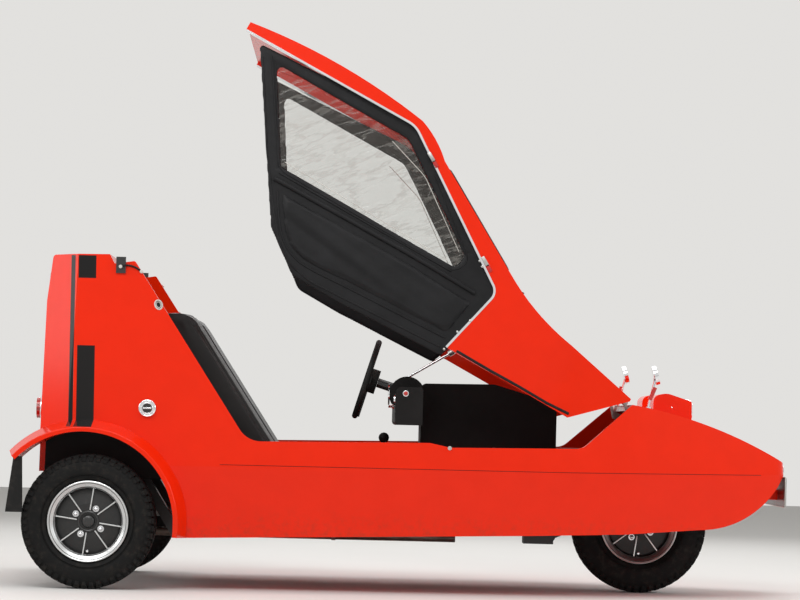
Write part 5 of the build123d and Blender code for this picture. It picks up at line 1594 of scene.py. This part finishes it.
    def fixings(self, zinc: Material, red: Material) -> None:
        """Rivets and the screen's two bright tabs on each side.

        Args:
            zinc, red: finishes.
        """
        made, tags = Solid(), Solid()
        for side in Side:
            for x, z in self.rivets:
                spot = self.frame.side(x, z, side)
                made.ball(spot, 0.0050, (1.0, 0.55, 1.0), segments=14)
            for x, z in self.tabs:
                spot = self.frame.side(x, z, side, 0.0006)
                way, over = Vector((0.52, 0.0, -0.85)), Vector((0.85, 0.0, 0.52)) * 0.0065
                for piece, shift, length in ((made, 0.0, 0.020), (tags, 0.028, 0.014)):
                    here, reach = spot + way * shift, way * length
                    piece.slab([here - reach - over, here + reach - over, here + reach + over,
                                here - reach + over], ACROSS * (side.value * 0.0045), edge=0.0012)
        made.piece("screen_rivets", zinc, "canopy", "zinc")
        tags.piece("screen_tags", red, "canopy", "red_lens")

    def seals(self, rubber: Material) -> None:
        """Rubber round the windscreen and along the scuttle's lower edges.

        Args:
            rubber: its finish.
        """
        made, strip = Solid(), Solid()
        half, inset = 0.462, 0.034
        length = (SCREEN_FOOT - SCREEN_TOP).length
        corners = [(inset, -half), (inset, half), (length - inset, half), (length - inset, -half)]
        rows = rounded(corners, 0.030, closed=True)[:-1]
        for height, radius in ((0.0015, 0.0075), (-0.0105, 0.0055)):
            made.bead([on_screen(along, y, height) for along, y in rows], radius, cyclic=True)
        made.moved(OPENED).piece("screen_rubber", rubber, "canopy", "rubber")
        low = Skin("canopy_shell")
        for side in Side:
            strip.bead(laid(low, self.scuttle_line, side, -0.002), 0.0055)
        strip.piece("scuttle_rubber", rubber, "canopy", "rubber")

    def wiper_blade(self, rubber: Material, metal: Material) -> None:
        """Blade with its clips on the glass, along the arm.

        Args:
            rubber, metal: finishes.
        """
        blade, spine = Solid(), Solid()
        blade.slab(patch(0.055, 0.375, 0.003, -0.0025), SCREEN_OUT * 0.009)
        spine.bead([on_screen(along, 0, height) for along, height in
                    ((0.060, 0.0085), (0.150, 0.0125), (0.215, 0.0150), (0.280, 0.0125),
                     (0.370, 0.0085))], 0.0030, smooth=True)
        for along in (0.075, 0.150, 0.280, 0.355):
            spine.slab(patch(along - 0.006, along + 0.006, 0.0045, 0.004), SCREEN_OUT * 0.007,
                       edge=0.001)
        blade.moved(OPENED).piece("wiper_blade", rubber, "canopy", "rubber")
        spine.moved(OPENED).piece("wiper_spine", metal, "canopy", "chrome")

    def mirror_glass(self, glass: Material) -> None:
        """Glass of the interior mirror, facing the seats.

        Args:
            glass: its finish.
        """
        made = Solid()
        made.slab([Vector((-0.1994, y, z)) for y, z in ((-0.064, 1.023), (0.064, 1.023),
                                                        (0.064, 1.061), (-0.064, 1.061))],
                  Vector((-0.0012, 0.0, 0.0)), edge=0.0004)
        made.moved(OPENED).piece("mirror_glass", glass, "canopy", "chrome")

    def stay_bolts(self, red: Material, zinc: Material) -> None:
        """Bolts at both ends of the stay, and the tube's collar.

        Args:
            red, zinc: finishes.
        """
        for name, centre, body, finish in (("stay_top_bolt", STAY_HEAD, "canopy", red),
                                           ("stay_foot_bolt", STAY_FOOT, "body", zinc)):
            made = Solid()
            for side in (-1, 1):
                start = centre + ACROSS * (side * 0.0167)
                made.tube(start, start + ACROSS * (side * 0.0014), 0.0085, segments=20)
                made.tube(start + ACROSS * (side * 0.0014), start + ACROSS * (side * 0.0060),
                          0.0066, segments=6, edge=0.0006)
            made.piece(name, finish, body, "zinc")
        gland = Solid()
        way = (STAY_FOOT - STAY_HEAD).normalized()
        end = STAY_HEAD + way * 0.262
        gland.tube(end - way * 0.016, end + way * 0.0035, 0.0118, segments=24, edge=0.001)
        gland.piece("stay_collar", zinc, "stay_tube", "chrome")

    def build(self, looks: Looks) -> None:
        """Builds every piece.

        Args:
            looks: the materials by name.
        """
        self.lines(looks["side_screen_vinyl"])
        self.pads(looks["side_screen_vinyl"])
        self.sheet_edges(looks["pale_edge"])
        self.fixings(looks["zinc"], looks["red_knob"])
        self.seals(looks["moulded_rubber"])
        self.wiper_blade(looks["moulded_rubber"], looks["zinc"])
        self.mirror_glass(looks["chrome"])
        self.stay_bolts(looks["red_knob"], looks["zinc"])


# ---- bodywork fittings

@dataclass
class Bodywork:
    """Fittings on the body: painted shadow along the waist seam, seals, filler ring, straps, lamp
    rims, plates and bolts.

    Fields: seam, as (x, z) rows; filler cap centre and radius; strap over each fin's latch; the
    small ring on the fin's front edge; tail window and boot lid half widths and heights; rear
    lamps as (y, z, radius); plate half width and heights; nose_lamp as y and z ranges; pod middle
    and half width, and its mouth's heights; y of the mudflap bolts.
    """

    seam: tuple[Row, ...] = ((-0.650, 0.4445), (0.610, 0.4455), (1.300, 0.4495))
    filler: Point = (-0.911, -0.597, 0.637)
    filler_radius: float = 0.028
    strap: tuple[Row, ...] = ((-1.022, 1.136), (-1.004, 1.142), (-0.985, 1.140), (-0.964, 1.132),
                              (-0.948, 1.120))
    ring: Row = (-0.898, 1.004)
    window_half: float = 0.395
    window_z: tuple[float, float] = (0.872, 1.112)
    boot_half: float = 0.325
    boot_z: tuple[float, float] = (0.462, 0.812)
    rear_lamps: tuple[Point, ...] = ((0.380, 0.630, 0.037), (0.462, 0.630, 0.037))
    plate_half: float = 0.260
    front_plate_z: tuple[float, float] = (0.333, 0.444)
    rear_plate_z: tuple[float, float] = (0.488, 0.599)
    nose_lamp: tuple[float, float, float, float] = (0.136, 0.204, 0.4555, 0.4825)
    pod: Row = (0.215, 0.092)
    pod_z: Row = (0.650, 0.716)
    flap_bolts: tuple[float, ...] = (0.585, 0.625, 0.665)

    def __post_init__(self) -> None:
        """Finds the surfaces that the fittings lie on."""
        self.flank = Skin("side_panels", "lower_tub", "nose_deck", "rear_quarters")
        self.tail = Skin("tail_panel", "boot_lid", "rear_plate", "tail_window", "rear_quarters")
        self.nose = Skin("front_lamps", "front_plate", "nose_deck", "lower_tub")

    def behind(self, y: float, z: float, out: float) -> Vector:
        """Point on the tail. Args: y, z: where. out: how far proud. Returns: the point."""
        return self.tail.end(y, z, AHEAD, out)

    def before(self, y: float, z: float, out: float) -> Vector:
        """Point on the nose. Args: y, z: where. out: how far proud. Returns: the point."""
        return self.nose.end(y, z, -AHEAD, out)

    @staticmethod
    def oblong(half: float, heights: tuple[float, float], corner: float, grow: float) -> list[Row]:
        """A rounded outline as (y, z).

        Args:
            half: half its width.
            heights: its lowest and highest z.
            corner: what is cut off at each corner.
            grow: how far outside these it runs.

        Returns:
            Rows.
        """
        low, high = heights[0] - grow, heights[1] + grow
        side = half + grow
        return rounded([(-side, low), (side, low), (side, high), (-side, high)], corner, True)[:-1]

    def seams(self, rubber: Material, dark: Material) -> None:
        """The waist seam's painted shadow, a thin dark red bead, and the seals on the tail.

        Args:
            rubber: the seals' finish. dark: the painted shadow of the seam.
        """
        made, shadow_bead = Solid(), Solid()
        # painted shadow: a thin dark red bead along the waist seam stands in for the shade in it
        for side in Side:
            shadow_bead.bead(laid(self.flank, self.seam, side, 0.0, 0.03), 0.0010)
        shadow_bead.piece("waist_shadow_bead", dark, "body", "paint")
        for half, heights, grow, radius in (
                (self.window_half, self.window_z, 0.003, 0.0080),
                (self.boot_half, self.boot_z, 0.005, 0.0045)):
            rows = self.oblong(half, heights, 0.006, grow)
            made.bead([self.behind(y, z, 0.001) for y, z in rows], radius, cyclic=True)
        made.piece("body_rubber", rubber, "body", "rubber")

    def filler_trim(self, chrome: Material, black: Material) -> None:
        """Chrome ring with a grip and a dark centre on the cap.

        Args:
            chrome, black: finishes.
        """
        made, middle = Solid(), Solid()
        centre, face = Vector(self.filler), -ACROSS
        for radius, size in ((self.filler_radius, 0.0030), (0.0185, 0.0016)):
            made.bead(loop(centre + face * 0.0008, AHEAD * radius, UP * radius, 48), size,
                      cyclic=True)
        made.slab([centre + AHEAD * x + UP * z + face * 0.0006 for x, z in
                   ((-0.0150, -0.0028), (0.0150, -0.0028), (0.0150, 0.0028), (-0.0150, 0.0028))],
                  face * 0.0075, edge=0.0012)
        middle.tube(centre - face * 0.0004, centre + face * 0.0010, 0.0178, segments=40)
        made.piece("filler_ring", chrome, "body", "chrome")
        middle.piece("filler_centre", black, "body", "rubber")

    def straps(self, rubber: Material, metal: Material) -> None:
        """A rubber strap from each latch, its anchor, and the ring below.

        Args:
            rubber: finish of the straps and the rings' centres.
            metal: finish of the anchors and rings.
        """
        made, bright, dark = Solid(), Solid(), Solid()
        skin = Skin("rear_quarters", "fin_latches")
        for side in Side:
            face = ACROSS * side.value
            rows = laid(skin, rounded(self.strap, 0.02), side, 0.0035, 0.01)
            made.bead(rows, 0.0034)
            for spot in (rows[0], rows[-1]):
                bright.tube(spot - face * 0.0030, spot + face * 0.0045, 0.0062, segments=18,
                            edge=0.0008)
            centre = skin.side(*self.ring, side) + AHEAD * 0.014
            turn = Matrix.Rotation(math.radians(20.0) * side.value, 3, ACROSS)
            along, high = turn @ AHEAD, turn @ UP
            for scale, size in ((1.0, 0.0028), (0.62, 0.0014)):
                bright.bead(loop(centre + face * 0.0012, along * 0.0125 * scale,
                                 high * 0.0165 * scale, 36), size, cyclic=True)
            dark.slab(loop(centre - face * 0.0030, along * 0.0120, high * 0.0160, 32),
                      face * 0.0042)
        made.piece("latch_straps", rubber, "body", "rubber")
        bright.piece("latch_rings", metal, "body", "chrome")
        dark.piece("ring_centres", rubber, "body", "rubber")

    def lamps(self, chrome: Material) -> None:
        """Rims of every lamp and the pods' bright lip.

        Args:
            chrome: its finish.
        """
        made = Solid()
        for y, z, radius in self.rear_lamps:
            reach = radius + 0.0012
            made.bead([self.behind(spot.y, spot.z, 0.0022) for spot in
                       loop(Vector((0.0, y, z)), ACROSS * reach, UP * reach, 40)], 0.0034,
                      cyclic=True)
        low_y, high_y, low, high = self.nose_lamp
        rows = rounded([(low_y, low), (high_y, low), (high_y, high), (low_y, high)], 0.006, True)
        made.bead([self.before(y, z, 0.0008) for y, z in rows[:-1]], 0.0022, cyclic=True)
        pods = Skin("headlamp_pods", "headlamps")
        middle, half = self.pod
        rows = self.oblong(half, self.pod_z, 0.02, 0.0)
        made.bead([pods.end(middle + y, z, -AHEAD, 0.0006) for y, z in rows], 0.0026, cyclic=True)
        made.ball(pods.side(0.969, 0.687, Side.LEFT), 0.0034, (1.0, 0.5, 1.0), segments=12)
        made.mirror().piece("lamp_rims", chrome, "body", "chrome")

    def plates(self, black: Material, zinc: Material) -> None:
        """Black edge and fixings of both blank plates.

        Args:
            black, zinc: finishes.
        """
        edge, bolts = Solid(), Solid()
        for place, heights, face in ((self.before, self.front_plate_z, AHEAD),
                                     (self.behind, self.rear_plate_z, -AHEAD)):
            rows = self.oblong(self.plate_half, heights, 0.010, -0.003)
            edge.bead([place(y, z, 0.0004) for y, z in rows], 0.0022, cyclic=True)
            for y in (-0.190, 0.190):
                spot = place(y, sum(heights) / 2, 0.0)
                bolts.ball(spot, 0.0062, (0.45, 1.0, 1.0), segments=16)
        low, high = self.front_plate_z
        reach = self.plate_half - 0.002
        edge.box((1.3934, -reach, low + 0.002), (1.3952, reach, high - 0.002))
        edge.piece("plate_edges", black, "body", "rubber")
        bolts.piece("plate_bolts", zinc, "body", "zinc")

    def bolts(self, zinc: Material) -> None:
        """Bolts of the mudflaps, and the catch on each sill.

        Args:
            zinc: its finish.
        """
        made = Solid()
        flap = Skin("mudflaps")
        for y in self.flap_bolts:
            spot = flap.end(y, 0.418, AHEAD)
            made.tube(spot - AHEAD * 0.0012, spot + AHEAD * 0.001, 0.0090, segments=20)
            made.ball(spot - AHEAD * 0.0010, 0.0060, (0.6, 1.0, 1.0), segments=14)
        catch = self.flank.side(0.159, 0.522, Side.LEFT)
        made.tube(catch - ACROSS * 0.001, catch + ACROSS * 0.0045, 0.0075, segments=20, edge=0.001)
        made.mirror().piece("body_bolts", zinc, "body", "zinc")

    def boot_handle(self, chrome: Material) -> None:
        """T handle and its rose on the boot lid.

        Args:
            chrome: its finish.
        """
        made = Solid()
        spot = Skin("boot_lid").end(0.0, 0.650, AHEAD)
        made.tube(spot + AHEAD * 0.002, spot - AHEAD * 0.005, 0.0170, segments=32, edge=0.0012)
        made.tube(spot - AHEAD * 0.004, spot - AHEAD * 0.018, 0.0075, segments=20)
        made.box((spot.x - 0.0260, -0.0330, spot.z - 0.0075),
                 (spot.x - 0.0150, 0.0330, spot.z + 0.0075), edge=0.0030, segments=3)
        made.piece("boot_handle", chrome, "boot_lid", "chrome")

    def exhaust_clamps(self, zinc: Material) -> None:
        """Bands round the tail pipe with their bolts.

        Args:
            zinc: its finish.
        """
        made = Solid()
        for x in (-1.180, -0.700, -0.250):
            centre = Vector((x, 0.165, 0.178))
            made.lathe([(0.0162, -0.008), (0.0188, -0.008), (0.0188, 0.008), (0.0162, 0.008)],
                       centre, AHEAD, steps=32)
            lug = centre + UP * 0.017
            made.tube(lug - ACROSS * 0.006, lug + ACROSS * 0.016, 0.0032, segments=10)
        made.piece("exhaust_clamps", zinc, "body", "exhaust_steel")

    def mirrors(self, red: Material, glass: Material) -> None:
        """Red sleeves and glasses of the wing mirrors.

        Args:
            red, glass: finishes.
        """
        sleeves, panes = Solid(), Solid()
        skin = Skin("door_mirrors")
        for y, foot, top in ((-0.405, (0.880, 0.712), (0.899, 0.757)),
                             (0.405, (0.842, 0.722), (0.848, 0.770))):
            sleeves.tube(Vector((foot[0], y, foot[1])), Vector((top[0], y, top[1])), 0.0074,
                         segments=20)
            places = (skin.tree.ray_cast(Vector((0.5, y, z)), AHEAD)[0]
                      for z in (0.800, 0.812, 0.824))
            panes.ball(next(place for place in places if place), 0.024, (0.05, 1.0, 1.0),
                       segments=28)
        sleeves.piece("mirror_sleeves", red, "body", "red_lens")
        panes.piece("mirror_panes", glass, "body", "glass")

    def build(self, looks: Looks) -> None:
        """Builds every piece.

        Args:
            looks: the materials by name.
        """
        self.seams(looks["moulded_rubber"], looks["seam_shadow"])
        self.filler_trim(looks["chrome"], looks["black_enamel"])
        self.straps(looks["moulded_rubber"], looks["pale_edge"])
        self.lamps(looks["chrome"])
        self.plates(looks["black_enamel"], looks["zinc"])
        self.bolts(looks["zinc"])
        self.boot_handle(looks["chrome"])
        self.exhaust_clamps(looks["zinc"])
        self.mirrors(looks["red_knob"], looks["chrome"])


# ---- cabin fittings

@dataclass
class Cabin:
    """Fittings round the driver: wheel boss, dials, knobs, gaiter and pedal rubbers.

    Fields: boss of the steering wheel and its tilt; dials as (y, z, radius); knobs' y and z; gear
    lever's foot; pedals' y, face, half width and heights.
    """

    boss: Point = (-0.139, -0.300, 0.763)
    tilt: float = math.radians(17.0)
    dial_rows: tuple[Point, ...] = ((-0.300, 0.711, 0.036), (-0.215, 0.690, 0.016),
                                    (-0.385, 0.690, 0.016))
    knob_y: tuple[float, ...] = (-0.120, -0.060, 0.060, 0.120)
    knob_z: float = 0.668
    gear_foot: Point = (-0.030, 0.0, 0.357)
    pedal_y: tuple[float, ...] = (-0.420, -0.340, -0.260)
    pedal_face: float = 0.286
    pedal_half: float = 0.024
    pedal_z: tuple[float, float] = (0.302, 0.350)

    def steering(self, black: Material, chrome: Material) -> None:
        """Boss cap with a bright ring and six screws.

        Args:
            black, chrome: finishes.
        """
        face = Vector((-math.cos(self.tilt), 0.0, math.sin(self.tilt)))
        centre = Skin("steering_wheel").meet(Vector(self.boss) + face * 0.5, -face)
        cap, ring = Solid(), Solid()
        cap.lathe([(0.0002, 0.0075), (0.0160, 0.0068), (0.0260, 0.0042), (0.0300, -0.0005),
                   (0.0002, -0.0005)], centre, face, steps=48)
        ring.lathe([(0.0300, -0.0005), (0.0305, 0.0030), (0.0330, 0.0036), (0.0350, -0.0005)],
                   centre, face, steps=48)
        for spot in loop(centre, ACROSS * 0.0390, face.cross(ACROSS) * 0.0390, 6):
            ring.ball(spot, 0.0026, segments=10)
        cap.piece("steering_cap", black, "steering_wheel", "rubber")
        ring.piece("steering_ring", chrome, "steering_wheel", "chrome")

    def dials(self, black: Material, chrome: Material,
              pale: Material, red: Material) -> None:
        """Three round dials with plain marks, and small knobs.

        Args:
            black: finish of the faces.
            chrome: finish of the rims and knobs.
            pale: finish of the marks.
            red: finish of the needles.
        """
        face, rim, marks, needle = Solid(), Solid(), Solid(), Solid()
        skin = Skin("dashboard")
        for y, z, size in self.dial_rows:
            centre = skin.meet(Vector((-1.0, y, z)), AHEAD)
            face.tube(centre + AHEAD * 0.001, centre - AHEAD * 0.0012, size, segments=40)
            rim.lathe([(size - 0.0010, 0.0), (size, 0.0046), (size + 0.0030, 0.0046),
                       (size + 0.0042, 0.0)], centre, -AHEAD, steps=48)
            mark = centre - AHEAD * 0.0014
            for angle in between(math.radians(-130), math.radians(130), 11):
                way = UP * math.cos(angle) + ACROSS * math.sin(angle)
                marks.tube(mark + way * size * 0.74, mark + way * size * 0.92, 0.0007, segments=6)
            way = UP * math.cos(-1.4) + ACROSS * math.sin(-1.4)
            pivot = centre - AHEAD * 0.0022
            needle.tube(pivot - way * size * 0.15, pivot + way * size * 0.78, 0.0010, far=0.0005,
                        segments=8)
            needle.ball(pivot, 0.0030, (0.6, 1.0, 1.0), segments=12)
        for y in self.knob_y:
            spot = skin.meet(Vector((-1.0, y, self.knob_z)), AHEAD)
            rim.tube(spot + AHEAD * 0.001, spot - AHEAD * 0.006, 0.0080, segments=20)
            rim.tube(spot - AHEAD * 0.006, spot - AHEAD * 0.019, 0.0034, far=0.0044, segments=14)
        end = skin.side(0.000, 0.712, Side.RIGHT)
        rim.tube(end, end - ACROSS * 0.0022, 0.0110, segments=28, edge=0.0008)
        needle.ball(end - ACROSS * 0.0024, 0.0080, (1.0, 0.4, 1.0), segments=18)
        face.piece("dial_faces", black, "body", "rubber")
        rim.piece("dial_rims", chrome, "body", "chrome")
        marks.piece("dial_marks", pale, "body", "plate")
        needle.piece("dial_needles", red, "body", "red_lens")

    def levers(self, rubber: Material, chrome: Material) -> None:
        """Pleated gaiter round the gear lever, and its ring.

        Args:
            rubber, chrome: finishes.
        """
        made, bright = Solid(), Solid()
        profile = [(0.0470, 0.0), (0.0470, 0.0040)]
        for step in range(5):
            wide = 0.0430 - step * 0.0065
            profile += [(wide, 0.0060 + step * 0.0110), (wide - 0.0085, 0.0110 + step * 0.0110)]
        profile += [(0.0080, 0.0640), (0.0080, 0.0)]
        made.lathe(profile, Vector(self.gear_foot), UP, steps=40)
        bright.lathe([(0.0445, 0.0035), (0.0500, 0.0035), (0.0500, 0.0058), (0.0445, 0.0058)],
                     Vector(self.gear_foot), UP, steps=40)
        made.piece("gear_gaiter", rubber, "body", "rubber")
        bright.piece("gaiter_ring", chrome, "body", "chrome")

    def pedals(self, rubber: Material) -> None:
        """Ribbed rubbers on the three pads.

        Args:
            rubber: its finish.
        """
        made = Solid()
        low, high = self.pedal_z
        for y in self.pedal_y:
            made.box((self.pedal_face - 0.0050, y - self.pedal_half, low),
                     (self.pedal_face + 0.0004, y + self.pedal_half, high), edge=0.0015)
            for z in between(low + 0.006, high - 0.006, 5):
                made.box((self.pedal_face - 0.0072, y - self.pedal_half + 0.003, z - 0.0022),
                         (self.pedal_face - 0.0044, y + self.pedal_half - 0.003, z + 0.0022),
                         edge=0.0008, segments=1)
        made.piece("pedal_rubbers", rubber, "body", "rubber")

    def build(self, looks: Looks) -> None:
        """Builds every piece.

        Args:
            looks: the materials by name.
        """
        self.steering(looks["moulded_rubber"], looks["chrome"])
        self.dials(looks["black_enamel"], looks["chrome"], looks["pale_edge"], looks["red_knob"])
        self.levers(looks["moulded_rubber"], looks["chrome"])
        self.pedals(looks["moulded_rubber"])


def main() -> None:
    """Dresses the car, adds every piece and sets the studio."""
    logging.basicConfig(level=logging.INFO, format="%(name)s %(message)s")
    looks = dress_nodes()
    for wheel in WHEELS:
        wheel.build(looks)
    Springs().build(looks["zinc"], looks["moulded_rubber"])
    Seats().build(looks["seat_vinyl"])
    Canopy().build(looks)
    Bodywork().build(looks)
    Cabin().build(looks)
    Studio().build()


if __name__ == "__main__":
    main()
